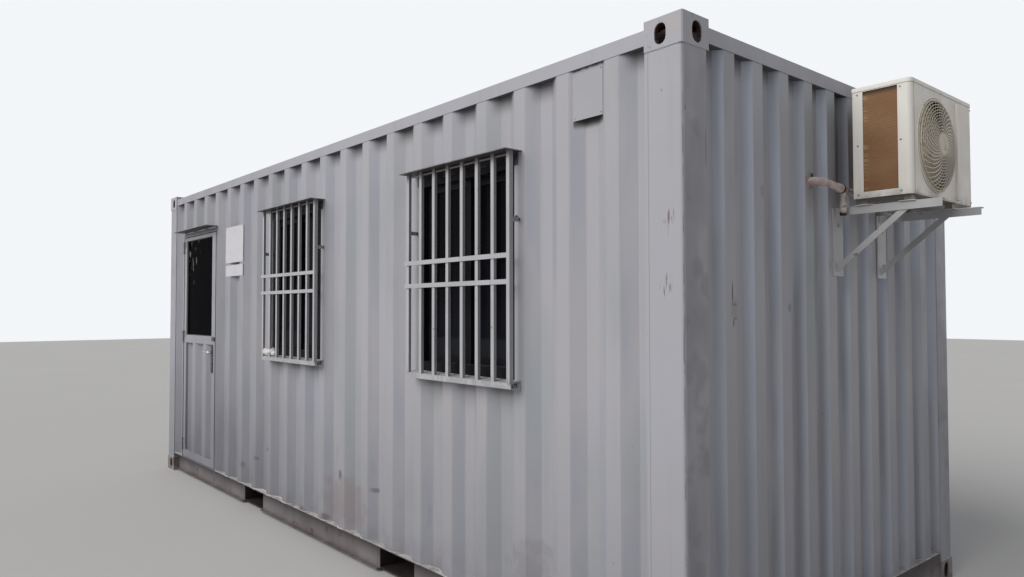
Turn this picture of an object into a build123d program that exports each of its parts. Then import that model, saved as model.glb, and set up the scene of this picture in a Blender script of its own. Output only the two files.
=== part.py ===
from build123d import *
import math
import os

# Whole container, 20 foot, standard height
LENGTH = 6058
WIDTH = 2438
HEIGHT = 2591

# Corner castings
CAST_X = 178
CAST_Y = 162
CAST_Z = 118
CAST_WALL = 28
CAST_SIDE_WALL = 22
CAST_EDGE = 5
LOCK_SLOT = (124, 63.5)
SIDE_SLOT = (80, 52)
END_SLOT = (82, 60)
SLOT_SIDES = 12
SLOT_FROM_END = 101.5
SLOT_FROM_SIDE = 89
SLOT_FROM_FACE = 63

# Corner posts
POST_RECESS = 3
POST_END_W = 145
POST_WALL = 6
POST_EDGE_R = 18

# Rails
RAIL_RECESS = 6
TOP_RAIL = 60
TOP_RAIL_WALL = 4
TOP_RAIL_DROP = 28
BASE_FOOT = 17
BASE_TOP = 165
FLANGE_TOP = 48
FLANGE_FOOT = 30
RAIL_SHEET = 4.5
END_RAIL_W = 60

# Forklift pockets
POCKET_SPACING = 2050
POCKET_W = 360
POCKET_SHEET = 4
STRAP_W = 200
STRAP_T = 8

# Cross members and floor
JOIST_H = 120
JOIST_W = 45
JOIST_T = 4
JOIST_COUNT = 17
FLOOR_T = 28

# Corrugated walls
SHEET = 2
WALL_RECESS = 8
SIDE_PITCH = 278
SIDE_CREST = 72
SIDE_SLOPE = 68
SIDE_DEPTH = 36
SIDE_PHASE = 2716
END_PITCH = 202
END_CREST = 72
END_SLOPE = 27
END_DEPTH = 36
END_PHASE = -878

# Roof
ROOF_PITCH = 209
ROOF_CREST = 91
ROOF_SLOPE = 18
ROOF_DEPTH = 20
ROOF_LAP = 50
ROOF_SEAT = 12
ROOF_END_T = 3

# Lining and ceiling
LINING = 50
CEILING_T = 50
BOARD_JOINT = 2

# Door
DOOR_FROM_POST = 253
DOOR_W = 811
DOOR_DROP = 420
DOOR_T = 42
DOOR_GAP = 6
JAMB = 34
STOP_W = 14
STOP_CLEAR = 6
THRESHOLD_T = 5
HINGE_STILE = 59
LOCK_STILE = 81
TOP_STILE = 30
MID_RAIL_Z = 1214
MID_RAIL_H = 70
FOOT_RAIL_H = 64
GLASS_T = 6
GLASS_RECESS = 16
BEAD = 10
HINGE_LOW_Z = 290
HINGE_MID_Z = 1265
HINGE_DROP = 86
HINGE_H = 110
HINGE_R = 8
HINGE_SIDES = 16
HINGE_PLATE = 36
HINGE_PLATE_T = 3
PIN_R = 5
PIN_CLEAR = 0.3
LOCK_W = 46
LOCK_H = 240
LOCK_T = 5
LOCK_FOOT_Z = 975
LEVER_Z = 1150
LEVER_SET = 61
LEVER_LEN = 135
LEVER_R = 9
LEVER_T = 12
LEVER_OUT = 42
HASP_Z = 1262
HASP_H = 34
HASP_T = 5
HASP_W = 70

# Windows
WIN_W = 764
WIN_H = 997
WIN_DROP = 408
WIN_CENTRES = (-222, 1704)
WIN_FACE = 32
WIN_FOOT = 50
SASH = 38
SASH_T = 22
SASH_SET = 30
PANE_T = 5

# Grilles, hoods and sills
BAR = 22
BAR_D = 16
BAR_COUNT = 8
BAR_PITCH = 118.4
BAR_OUT = 60
TOP_FLAT_SET = 17
FLAT_H = 22
FLAT_T = 6
FLAT_UP = (443, 562)
STANDOFF_UP = 724
STANDOFF_H = 20
HOOD_OUT = 100
HOOD_T = 4
HOOD_DROP = 374
HOOD_OVERHANG = 54
SILL_T = 5
SILL_FALL = 10
SILL_LEG = 46
SILL_LIP = 26

# Vent cover and sign plates
VENT_SET = 9
VENT_DROP = 301
VENT_T = 2
VENT_BACK = 8
SIGN_SET = 197
SIGN_W = 380
SIGN_DROPS = (411, 721)
SIGN_HEIGHTS = (290, 90)
SIGN_T = 3

# Outdoor unit of the air conditioner
UNIT_GAP = 92
UNIT_D = 250
UNIT_Y = -104
UNIT_W = 690
UNIT_DROP = 599
UNIT_H = 493
UNIT_T = 3
UNIT_EDGE_R = 22
FAN_Y = 155
FAN_UP = 236
FAN_R = 178
FAN_HUB_R = 48
FAN_D = 56
FAN_BLADES = 3
FAN_HOLE_R = 200
FAN_SETBACK = 26
COIL_T = 22
COIL_BACK = 45
COIL_FRONT = 57
COIL_TOP = 20
COIL_FOOT = 28
COIL_LAP = 20
GUARD_SLATS = 20
GUARD_SLAT_T = 4
GUARD_TURN = -48
GUARD_BENDS = 3
GUARD_RIM = 6
GUARD_D = 8
GUARD_BULGE = 38
GUARD_SHOULDER_R = 130
GUARD_SHOULDER = 24
MOTOR_R = 45
MOTOR_SIDES = 16
MOTOR_L = 70
SHAFT_R = 6
MOTOR_STRAP = 60

# Brackets of the outdoor unit
ARM_LEN = 448
ARM = 36
ARM_T = 4
FOOT_H = 27
ARM_Y = (-60, 390)
PLATE_W = 90
PLATE_H = 310
PLATE_T = 6
BRACE_REACH = 350
BRACE_DROP = 295
BRACE_W = 27
BRACE_T = 4
FOOT = 32

# Wrapped pipe
PIPE_R = 21
PIPE_SIDES = 12
PIPE_Y = -308
PIPE_UP = 70
PIPE_FALL = 0.1
PIPE_END_GAP = 60
STUB_R = 18
STUB_L = 120
STUB_SET = 6

# Derived places
HALF_L = LENGTH / 2
HALF_W = WIDTH / 2
POST_X = HALF_L - CAST_X
POST_Y = HALF_W - POST_RECESS - POST_END_W
CAST_IN_Y = HALF_W - CAST_Y
WALL_Y = HALF_W - WALL_RECESS
WALL_X = HALF_L - WALL_RECESS
RAIL_Y = HALF_W - RAIL_RECESS
RAIL_X = HALF_L - RAIL_RECESS
TOP_RAIL_Z = HEIGHT - TOP_RAIL_DROP - TOP_RAIL
ROOF_Z = HEIGHT - TOP_RAIL_DROP
LINING_Y = WALL_Y - SIDE_DEPTH - SHEET
LINING_X = WALL_X - END_DEPTH - SHEET
ROOM_Y = LINING_Y - LINING
ROOM_X = LINING_X - LINING
CEILING_Z = TOP_RAIL_Z - CEILING_T
WEB_Y = RAIL_Y - FLANGE_TOP
END_RAIL_X = RAIL_X - END_RAIL_W
FLOOR_Z = BASE_TOP - FLOOR_T
POCKET_Z = BASE_FOOT + STRAP_T
POCKET_TOP = FLOOR_Z - POCKET_SHEET
DOOR_FOOT = BASE_TOP + THRESHOLD_T + DOOR_GAP
DOOR_TOP = HEIGHT - DOOR_DROP
DOOR_X = DOOR_FROM_POST - POST_X
HINGE_Z = (HINGE_LOW_Z, HINGE_MID_Z, DOOR_TOP - HINGE_DROP)
LEVER_X = DOOR_X + DOOR_W - LEVER_SET
JAMB_X0 = DOOR_X - DOOR_GAP - JAMB
JAMB_X1 = DOOR_X + DOOR_W + DOOR_GAP + JAMB
HEAD_TOP = DOOR_TOP + DOOR_GAP + JAMB
DOOR_BACK_Y = RAIL_Y - DOOR_T
WIN_EDGES = [(c - WIN_W / 2, c + WIN_W / 2) for c in WIN_CENTRES]
UNIT_X = HALF_L + UNIT_GAP
ORIGIN_X = (WALL_X + PLATE_T + ARM_LEN - HALF_L) / 2
ORIGIN_Y = (HALF_W - RAIL_Y - HOOD_OUT) / 2
WIN_Z = HEIGHT - WIN_DROP - WIN_H
SILL_Z = WIN_Z - SILL_FALL
HOOD_Z = HEIGHT - HOOD_DROP
TOP_FLAT_Z = HOOD_Z - TOP_FLAT_SET
STANDOFF_Z = WIN_Z + STANDOFF_UP
VENT_Z = HEIGHT - VENT_DROP
SIGN_X = JAMB_X1 + SIGN_SET
UNIT_Z = HEIGHT - UNIT_DROP
FAN_Z = UNIT_Z + FAN_UP
ARM_TOP_Z = UNIT_Z - FOOT_H
PIPE_Z = UNIT_Z + PIPE_UP


def block(x0, x1, y0, y1, z0, z1):
    centre = Pos((x0 + x1) / 2, (y0 + y1) / 2, (z0 + z1) / 2)
    return centre * Box(x1 - x0, y1 - y0, z1 - z0)


def prism(points, plane, length):
    return extrude(make_face(plane * Polyline(*points, close=True)), length, dir=plane.z_dir)


def front_and_back(shape):
    return [shape, mirror(shape, about=Plane.XZ)]


def both_ends(shape):
    return [shape, mirror(shape, about=Plane.YZ)]


def four_corners(shape):
    return [c for s in front_and_back(shape) for c in both_ends(s)]


# Pressed sheet with trapezoid waves, as (place along the sheet, depth)
def waves(start, end, phase, pitch, crest, slope, depth):
    first = math.floor((start - phase) / pitch) - 1
    last = math.ceil((end - phase) / pitch) + 1
    line = []
    for k in range(first, last + 1):
        edge = phase + k * pitch
        line += [(edge, 0), (edge + slope, depth), (edge + pitch - crest - slope, depth),
                 (edge + pitch - crest, 0)]
    clipped = []
    for (a0, d0), (a1, d1) in zip(line, line[1:]):
        if a1 <= start or a0 >= end:
            continue
        for a in (max(a0, start), min(a1, end)):
            d = d0 + (d1 - d0) * (a - a0) / (a1 - a0)
            if not clipped or a - clipped[-1][0] > 0.01:
                clipped.append((a, d))
    return clipped


def side_sheet(x0, x1, z0, z1):
    line = waves(x0, x1, SIDE_PHASE, SIDE_PITCH, SIDE_CREST, SIDE_SLOPE, SIDE_DEPTH)
    outer = [(x, d - WALL_Y) for x, d in line]
    inner = [(x, y + SHEET) for x, y in reversed(outer)]
    return Pos(0, 0, z0) * prism(outer + inner, Plane.XY, z1 - z0)


def end_sheet():
    line = waves(-POST_Y, POST_Y, END_PHASE, END_PITCH, END_CREST, END_SLOPE, END_DEPTH)
    outer = [(WALL_X - d, y) for y, d in line]
    inner = [(x - SHEET, y) for x, y in reversed(outer)]
    sheet = Pos(0, 0, BASE_TOP) * prism(outer + inner, Plane.XY, TOP_RAIL_Z - BASE_TOP)
    for side in (-1, 1):
        y0, y1 = sorted((side * CAST_IN_Y, side * HALF_W))
        sheet -= block(POST_X, HALF_L, y0, y1, HEIGHT - CAST_Z, HEIGHT)
    return sheet


# Castings: hollow blocks with a slot for a lock and slots for hooks
def slot(length, width):
    end = RegularPolygon(width / 2, SLOT_SIDES, major_radius=False)
    reach = (length - width) / 2
    return make_hull((Pos(-reach, 0) * end).edges() + (Pos(reach, 0) * end).edges())


def casting():
    body = block(POST_X, HALF_L, -HALF_W, -CAST_IN_Y, 0, CAST_Z)
    corner = body.edges().filter_by(Axis.Z).sort_by_distance((HALF_L, -HALF_W, CAST_Z / 2))[0]
    body = chamfer(corner, CAST_EDGE)
    body -= block(POST_X + CAST_SIDE_WALL, HALF_L - CAST_SIDE_WALL, CAST_SIDE_WALL - HALF_W,
                  -CAST_IN_Y - CAST_SIDE_WALL, CAST_WALL, CAST_Z - CAST_WALL)
    slot_x = HALF_L - SLOT_FROM_END
    slot_y = SLOT_FROM_SIDE - HALF_W
    lock = Pos(slot_x, slot_y, -1) * slot(*LOCK_SLOT)
    body -= extrude(lock, CAST_WALL + 2)
    side = Plane((slot_x, -HALF_W - 1, SLOT_FROM_FACE), x_dir=(0, 0, 1), z_dir=(0, 1, 0))
    body -= extrude(side * slot(*SIDE_SLOT), CAST_SIDE_WALL + 2)
    end = Plane((HALF_L + 1, slot_y, SLOT_FROM_FACE), x_dir=(0, 0, 1), z_dir=(-1, 0, 0))
    body -= extrude(end * slot(*END_SLOT), CAST_SIDE_WALL + 2)
    return body


def corner_castings():
    base = four_corners(casting())
    top = [Pos(0, 0, HEIGHT) * mirror(c, about=Plane.XY) for c in base]
    return base + top


def corner_posts():
    x0, x1 = POST_X, HALF_L - POST_RECESS
    y0, y1 = POST_RECESS - HALF_W, -POST_Y
    outline = Pos((x0 + x1) / 2, (y0 + y1) / 2) * Rectangle(x1 - x0, y1 - y0)
    corner = outline.vertices().sort_by_distance((x1, y0, 0))[0]
    outline = fillet(corner, POST_EDGE_R)
    ring = outline - offset(outline, -POST_WALL, kind=Kind.INTERSECTION)
    return four_corners(Pos(0, 0, CAST_Z) * extrude(ring, HEIGHT - 2 * CAST_Z))


def square_tube(x0, x1, y0, y1, z0, z1, wall, along):
    outer = block(x0, x1, y0, y1, z0, z1)
    if along == "x":
        return outer - block(x0, x1, y0 + wall, y1 - wall, z0 + wall, z1 - wall)
    return outer - block(x0 + wall, x1 - wall, y0, y1, z0 + wall, z1 - wall)


def top_rails():
    side = square_tube(-POST_X, POST_X, -RAIL_Y, TOP_RAIL - RAIL_Y, TOP_RAIL_Z, ROOF_Z,
                       TOP_RAIL_WALL, "x")
    end = square_tube(RAIL_X - TOP_RAIL, RAIL_X, -CAST_IN_Y, CAST_IN_Y, TOP_RAIL_Z, ROOF_Z,
                      TOP_RAIL_WALL, "y")
    return front_and_back(side) + both_ends(end)


# Base rails: pressed channels that open outward, cut by the forklift pockets
def base_side_rails():
    y0 = -RAIL_Y
    web = -WEB_Y
    section = [(y0, BASE_TOP), (web, BASE_TOP), (web, BASE_FOOT), (web - FLANGE_FOOT, BASE_FOOT),
               (web - FLANGE_FOOT, BASE_FOOT + RAIL_SHEET), (web - RAIL_SHEET, BASE_FOOT + RAIL_SHEET),
               (web - RAIL_SHEET, BASE_TOP - RAIL_SHEET), (y0, BASE_TOP - RAIL_SHEET)]
    rail = Pos(-POST_X, 0, 0) * prism(section, Plane.YZ, 2 * POST_X)
    for side in (-1, 1):
        mid = side * POCKET_SPACING / 2
        rail -= block(mid - POCKET_W / 2, mid + POCKET_W / 2, web - FLANGE_FOOT - 1, web + 1,
                      BASE_FOOT - 1, POCKET_TOP)
    return front_and_back(rail)


def base_end_rails():
    rail = square_tube(END_RAIL_X, RAIL_X, -CAST_IN_Y, CAST_IN_Y, BASE_FOOT, BASE_TOP,
                       TOP_RAIL_WALL, "y")
    return both_ends(rail)


def fork_pockets():
    half = POCKET_W / 2
    reach = WEB_Y
    tops = []
    for side in (-1, 1):
        mid = side * POCKET_SPACING / 2
        tunnel = block(mid - half - POCKET_SHEET, mid + half + POCKET_SHEET, -reach, reach,
                       BASE_FOOT, FLOOR_Z)
        tunnel -= block(mid - half, mid + half, -reach, reach, BASE_FOOT, POCKET_TOP)
        for y in (-1, 1):
            y0, y1 = sorted((y * reach, y * (reach - STRAP_W)))
            tunnel += block(mid - half, mid + half, y0, y1, BASE_FOOT, POCKET_Z)
        tops.append(tunnel)
    return tops


def cross_members():
    joists = []
    span = 2 * (END_RAIL_X - JOIST_W)
    section = [(0, 0), (JOIST_W, 0), (JOIST_W, JOIST_T), (JOIST_T, JOIST_T),
               (JOIST_T, JOIST_H - JOIST_T), (JOIST_W, JOIST_H - JOIST_T), (JOIST_W, JOIST_H),
               (0, JOIST_H)]
    joist = Pos(0, WEB_Y, FLOOR_Z - JOIST_H) * prism(section, Plane.XZ, 2 * WEB_Y)
    reach = POCKET_SPACING / 2 + POCKET_W / 2 + POCKET_SHEET
    near = POCKET_SPACING / 2 - POCKET_W / 2 - POCKET_SHEET
    for k in range(1, JOIST_COUNT + 1):
        x = -span / 2 + span * k / (JOIST_COUNT + 1) - JOIST_W / 2
        if near - JOIST_W < abs(x + JOIST_W / 2) < reach + JOIST_W:
            continue
        joists.append(Pos(x, 0, 0) * joist)
    return joists


def floor():
    deck = block(-POST_X, POST_X, -WEB_Y, WEB_Y, FLOOR_Z, BASE_TOP)
    return deck + block(-END_RAIL_X, END_RAIL_X, -POST_Y, POST_Y, FLOOR_Z, BASE_TOP)


# Roof sheet: waves that run down to a flat edge on the inner side of each rail
def roof():
    half = POST_X - ROOF_LAP
    line = waves(-half, half, -ROOF_CREST / 2, ROOF_PITCH, ROOF_CREST, ROOF_SLOPE, ROOF_DEPTH)
    edge = RAIL_Y - TOP_RAIL + ROOF_SEAT

    def filled(under, inset):
        top = ROOF_Z + ROOF_DEPTH + SHEET - under
        low = ROOF_Z + SHEET - under
        floor = ROOF_Z - SHEET
        crests = [(-half, floor)] + [(x, top - d) for x, d in line] + [(half, floor)]
        fall = edge - 2 * ROOF_SEAT - inset
        ends = [(edge, floor), (edge, low), (fall, low), (fall - ROOF_SLOPE, top)]
        ends += [(-y, z) for y, z in reversed(ends)]
        lengthwise = Pos(0, edge, 0) * prism(crests, Plane.XZ, 2 * edge)
        return lengthwise & (Pos(-half, 0, 0) * prism(ends, Plane.YZ, 2 * half))

    sheet = filled(0, 0) - filled(SHEET, SHEET)
    ends = block(half, RAIL_X - TOP_RAIL / 4, -CAST_IN_Y, CAST_IN_Y, ROOF_Z, ROOF_Z + ROOF_END_T)
    return [sheet] + both_ends(ends)


def ceiling():
    panel = block(-POST_X, POST_X, -LINING_Y, LINING_Y, CEILING_Z, TOP_RAIL_Z)
    return panel + block(-LINING_X, LINING_X, -CAST_IN_Y, CAST_IN_Y, CEILING_Z, TOP_RAIL_Z)


# Front wall: sheets beside, over and under the door and the windows
def front_walls():
    (a0, a1), (b0, b1) = WIN_EDGES
    top = TOP_RAIL_Z
    win_top = WIN_Z + WIN_H
    return {
        "front_wall_left": [side_sheet(-POST_X, JAMB_X0, BASE_TOP, top)],
        "front_wall_over_door": [side_sheet(JAMB_X0, JAMB_X1, HEAD_TOP, top)],
        "front_wall_middle_left": [side_sheet(JAMB_X1, a0, BASE_TOP, top)],
        "front_wall_at_left_window": [side_sheet(a0, a1, BASE_TOP, WIN_Z),
                                      side_sheet(a0, a1, win_top, top)],
        "front_wall_middle_right": [side_sheet(a1, b0, BASE_TOP, top)],
        "front_wall_at_right_window": [side_sheet(b0, b1, BASE_TOP, WIN_Z),
                                       side_sheet(b0, b1, win_top, top)],
        "front_wall_right": [side_sheet(b1, POST_X, BASE_TOP, top)],
    }


def front_lining():
    (a0, a1), (b0, b1) = WIN_EDGES
    win_top = WIN_Z + WIN_H
    boards = [(-POST_X, JAMB_X0, BASE_TOP, CEILING_Z), (JAMB_X0, JAMB_X1, HEAD_TOP, CEILING_Z),
              (JAMB_X1, a0, BASE_TOP, CEILING_Z), (a0, a1, BASE_TOP, WIN_Z),
              (a0, a1, win_top, CEILING_Z), (a1, b0, BASE_TOP, CEILING_Z),
              (b0, b1, BASE_TOP, WIN_Z), (b0, b1, win_top, CEILING_Z),
              (b1, POST_X, BASE_TOP, CEILING_Z)]
    half = BOARD_JOINT / 2
    return [block(x0 + half, x1 - half, -LINING_Y, -ROOM_Y, z0, z1) for x0, x1, z0, z1 in boards]


def door_frame():
    y0, y1 = -RAIL_Y, -ROOM_Y
    frame = block(JAMB_X0, JAMB_X1, y0, y1, BASE_TOP, HEAD_TOP)
    frame -= block(JAMB_X0 + JAMB, JAMB_X1 - JAMB, y0, y1, BASE_TOP + THRESHOLD_T, HEAD_TOP - JAMB)
    stop_y = STOP_CLEAR - DOOR_BACK_Y
    stop = block(JAMB_X0 + JAMB, JAMB_X1 - JAMB, stop_y, y1, BASE_TOP + THRESHOLD_T, HEAD_TOP - JAMB)
    stop -= block(JAMB_X0 + JAMB + STOP_W, JAMB_X1 - JAMB - STOP_W, stop_y, y1,
                  BASE_TOP + THRESHOLD_T, HEAD_TOP - JAMB - STOP_W)
    return [frame + stop]


def door_opening(z0, z1, y0, y1, grow=0):
    return block(DOOR_X + HINGE_STILE - grow, DOOR_X + DOOR_W - LOCK_STILE + grow, y0, y1,
                 z0 - grow, z1 + grow)


# Leaf: two rails and two stiles, with a rebate behind for the pane and the panel
def door_leaf():
    y0, y1 = -RAIL_Y, -DOOR_BACK_Y
    panes = ((MID_RAIL_Z + MID_RAIL_H, DOOR_TOP - TOP_STILE), (DOOR_FOOT + FOOT_RAIL_H, MID_RAIL_Z))
    leaf = block(DOOR_X, DOOR_X + DOOR_W, y0, y1, DOOR_FOOT, DOOR_TOP)
    for z0, z1 in panes:
        leaf -= door_opening(z0, z1, y0, y1)
    z0, z1 = panes[0]
    leaf -= door_opening(z0, z1, y0 + GLASS_RECESS, y1, BEAD)
    return [leaf]


# The lower panel is the piece of wall sheet that was cut out for the door
def door_lower_panel():
    return [side_sheet(DOOR_X + HINGE_STILE, DOOR_X + DOOR_W - LOCK_STILE, DOOR_FOOT + FOOT_RAIL_H,
                       MID_RAIL_Z)]


def door_glass():
    y0 = GLASS_RECESS - RAIL_Y
    return [door_opening(MID_RAIL_Z + MID_RAIL_H, DOOR_TOP - TOP_STILE, y0, y0 + GLASS_T, BEAD)]


# Lift-off hinges: the frame carries the lower knuckle and its pin, the leaf the upper one
PIVOT_X = DOOR_X - DOOR_GAP / 2
PIVOT_Y = -RAIL_Y - HINGE_R


def hinge_knuckle(z0, z1, side):
    x0, x1 = sorted((PIVOT_X, PIVOT_X + side * HINGE_PLATE))
    plate = block(x0, x1, -RAIL_Y - HINGE_PLATE_T, -RAIL_Y, z0, z1)
    barrel = Pos(PIVOT_X, PIVOT_Y, z0) * RegularPolygon(HINGE_R, HINGE_SIDES)
    return plate + extrude(barrel, z1 - z0)


def frame_hinges():
    hinges = []
    for z in HINGE_Z:
        pin = Pos(PIVOT_X, PIVOT_Y, z) * Cylinder(PIN_R, HINGE_H)
        hinges.append(hinge_knuckle(z - HINGE_H / 2, z, -1) + pin)
    return hinges


def leaf_hinges():
    hinges = []
    for z in HINGE_Z:
        bore = Pos(PIVOT_X, PIVOT_Y, z) * Cylinder(PIN_R + PIN_CLEAR, HINGE_H)
        hinges.append(hinge_knuckle(z + PIN_CLEAR, z + HINGE_H / 2, 1) - bore)
    return hinges


# Lock plate round the lever and a hasp plate on the mid rail
def door_lock():
    y0 = -RAIL_Y - LOCK_T
    plate = block(LEVER_X - LOCK_W / 2, LEVER_X + LOCK_W / 2, y0, -RAIL_Y, LOCK_FOOT_Z,
                  LOCK_FOOT_Z + LOCK_H)
    plate = chamfer(plate.edges().filter_by(Axis.Y), LOCK_W / 8)
    hole = Plane((LEVER_X, -RAIL_Y, LEVER_Z), z_dir=(0, -1, 0))
    plate -= extrude(hole * Circle(LEVER_R + 5), LOCK_T)
    edge = DOOR_X + DOOR_W
    hasp = block(edge - HASP_W, edge, -RAIL_Y - HASP_T, -RAIL_Y, HASP_Z - HASP_H / 2, HASP_Z + HASP_H / 2)
    return [plate, chamfer(hasp.edges().filter_by(Axis.Y), HASP_H / 8)]


def door_lever():
    face = Plane((LEVER_X, -RAIL_Y, LEVER_Z), z_dir=(0, -1, 0))
    spindle = extrude(face * Circle(LEVER_R), LEVER_OUT)
    middle = (LEVER_X - LEVER_LEN / 2, LEVER_T - RAIL_Y - LEVER_OUT, LEVER_Z)
    grip = Plane(middle, x_dir=(1, 0, 0), z_dir=(0, -1, 0))
    return [spindle + extrude(grip * SlotOverall(LEVER_LEN + 2 * LEVER_R, 2 * LEVER_R), LEVER_T)]


# Windows: a liner through the wall, two sashes fused with it and their panes
def window_frame(centre):
    x0, x1 = centre - WIN_W / 2, centre + WIN_W / 2
    z0, z1 = WIN_Z, WIN_Z + WIN_H
    y0, y1 = -WALL_Y, -ROOM_Y
    frame = block(x0, x1, y0, y1, z0, z1)
    frame -= block(x0 + WIN_FACE, x1 - WIN_FACE, y0, y1, z0 + WIN_FOOT, z1 - WIN_FACE)
    for side in (-1, 1):
        sash_y = -WALL_Y + SASH_SET + (0 if side < 0 else SASH_T)
        sx0, sx1 = sorted((centre - side * SASH / 2, centre + side * (WIN_W / 2 - WIN_FACE)))
        sash = block(sx0, sx1, sash_y, sash_y + SASH_T, z0 + WIN_FOOT, z1 - WIN_FACE)
        sash -= block(sx0 + SASH, sx1 - SASH, sash_y, sash_y + SASH_T, z0 + WIN_FOOT + SASH,
                      z1 - WIN_FACE - SASH)
        frame += sash
    return frame


def window_panes(centre):
    panes = []
    for side in (-1, 1):
        sash_y = -WALL_Y + SASH_SET + (0 if side < 0 else SASH_T)
        sx0, sx1 = sorted((centre - side * SASH / 2, centre + side * (WIN_W / 2 - WIN_FACE)))
        mid = sash_y + SASH_T / 2
        panes.append(block(sx0 + SASH, sx1 - SASH, mid - PANE_T / 2, mid + PANE_T / 2,
                           WIN_Z + WIN_FOOT + SASH, WIN_Z + WIN_H - WIN_FACE - SASH))
    return panes


# Sill: a bent plate with a leg on the wall, a falling top and a lip
def window_sill(centre):
    out = -WALL_Y - BAR_OUT
    section = [(-WALL_Y, WIN_Z - SILL_LEG), (-WALL_Y, WIN_Z), (out, SILL_Z), (out, SILL_Z - SILL_LIP),
               (out + SILL_T, SILL_Z - SILL_LIP), (out + SILL_T, SILL_Z - SILL_T),
               (-WALL_Y - SILL_T, WIN_Z - SILL_T), (-WALL_Y - SILL_T, WIN_Z - SILL_LEG)]
    reach = (BAR_COUNT - 1) * BAR_PITCH / 2 + BAR / 2
    return Pos(centre - reach, 0, 0) * prism(section, Plane.YZ, 2 * reach)


# Burglar grille: bars between the sill and the hood, tied by two flats and a top bar
def window_grille(centre):
    front = -WALL_Y - BAR_OUT
    first = centre - (BAR_COUNT - 1) * BAR_PITCH / 2
    last = centre + (BAR_COUNT - 1) * BAR_PITCH / 2
    bars = []
    for k in range(BAR_COUNT):
        x = first + k * BAR_PITCH
        face = front - FLAT_T if k == BAR_COUNT - 1 else front
        bars.append(block(x - BAR / 2, x + BAR / 2, face, front + BAR_D, SILL_Z, HOOD_Z))
    grille = bars[0].fuse(*bars[1:])
    for z in (WIN_Z + up for up in FLAT_UP):
        grille += block(first - BAR, last - BAR / 2, front - FLAT_T, front, z - FLAT_H / 2,
                        z + FLAT_H / 2)
    grille += block(first, last, front + FLAT_T, front + BAR_D, TOP_FLAT_Z, TOP_FLAT_Z + FLAT_T)
    for x in (first, last):
        grille += block(x - FLAT_T / 2, x + FLAT_T / 2, front + BAR_D, -WALL_Y, STANDOFF_Z - STANDOFF_H / 2,
                        STANDOFF_Z + STANDOFF_H / 2)
    return grille - window_sill(centre)


def hoods():
    spans = [(JAMB_X0 + JAMB, JAMB_X1)]
    spans += [(a - HOOD_OVERHANG, b + HOOD_OVERHANG) for a, b in WIN_EDGES]
    return [block(x0, x1, -RAIL_Y - HOOD_OUT, -WALL_Y, HOOD_Z, HOOD_Z + HOOD_T) for x0, x1 in spans]


# Vent cover: a tray wedged in one trough of the wall, open at the foot
def vent_cover():
    edge = SIDE_PHASE - SIDE_PITCH
    slope = SIDE_SLOPE / SIDE_DEPTH
    far = edge + SIDE_PITCH - SIDE_CREST

    def outline(wall):
        front, back = VENT_SET, SIDE_DEPTH - VENT_BACK
        inset = wall * math.hypot(SIDE_SLOPE, SIDE_DEPTH) / SIDE_DEPTH
        return [(edge + front * slope + inset, front + wall - WALL_Y),
                (far - front * slope - inset, front + wall - WALL_Y),
                (far - back * slope - inset, back - WALL_Y), (edge + back * slope + inset, back - WALL_Y)]

    tray = Pos(0, 0, VENT_Z) * prism(outline(0), Plane.XY, TOP_RAIL_Z - VENT_Z)
    return [tray - Pos(0, 0, VENT_Z) * prism(outline(VENT_T), Plane.XY, TOP_RAIL_Z - VENT_Z - VENT_T)]


def sign_plates():
    y0 = -WALL_Y - SIGN_T
    tops = [HEIGHT - drop for drop in SIGN_DROPS]
    return [block(SIGN_X, SIGN_X + SIGN_W, y0, -WALL_Y, top - high, top)
            for top, high in zip(tops, SIGN_HEIGHTS)]


# Outdoor unit: folded casing, coil at the side and back, fan and spiral fan guard
def unit_casing():
    x0, x1 = UNIT_X, UNIT_X + UNIT_D
    y0, y1 = UNIT_Y, UNIT_Y + UNIT_W
    z0, z1 = UNIT_Z, UNIT_Z + UNIT_H
    case = block(x0, x1, y0, y1, z0, z1)
    case = fillet(case.edges().filter_by(Axis.Z).group_by(Axis.X)[-1], UNIT_EDGE_R)
    room = block(x0 + UNIT_T, x1 - UNIT_T, y0 + UNIT_T, y1 - UNIT_T, z0 + UNIT_T, z1 - UNIT_T)
    case -= fillet(room.edges().filter_by(Axis.Z).group_by(Axis.X)[-1], UNIT_EDGE_R - UNIT_T)
    case -= block(x0 + COIL_BACK, x1 - COIL_FRONT, y0 - 1, y0 + UNIT_T, z0 + COIL_FOOT, z1 - COIL_TOP)
    case -= block(x0 - 1, x0 + UNIT_T, y0 + COIL_BACK, y1 - UNIT_W / 3, z0 + COIL_FOOT, z1 - COIL_TOP)
    mouth = Plane((x1 - UNIT_T - 1, FAN_Y, FAN_Z), z_dir=(1, 0, 0)) * Circle(FAN_HOLE_R)
    case -= extrude(mouth, UNIT_T + 2)
    motor_x = x1 - UNIT_T - FAN_SETBACK - FAN_D
    motor = Plane((motor_x - 5, FAN_Y, FAN_Z), z_dir=(-1, 0, 0)) * RegularPolygon(MOTOR_R, MOTOR_SIDES)
    case += block(motor_x - 5 - MOTOR_L, motor_x - 5 - MOTOR_L + UNIT_T, FAN_Y - MOTOR_STRAP / 2,
                  FAN_Y + MOTOR_STRAP / 2, z0, z1)
    case += extrude(motor, MOTOR_L)
    shaft = Plane((motor_x - 5, FAN_Y, FAN_Z), z_dir=(1, 0, 0)) * Circle(SHAFT_R)
    case += extrude(shaft, 5 + FAN_D / 2)
    return [case]


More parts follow.
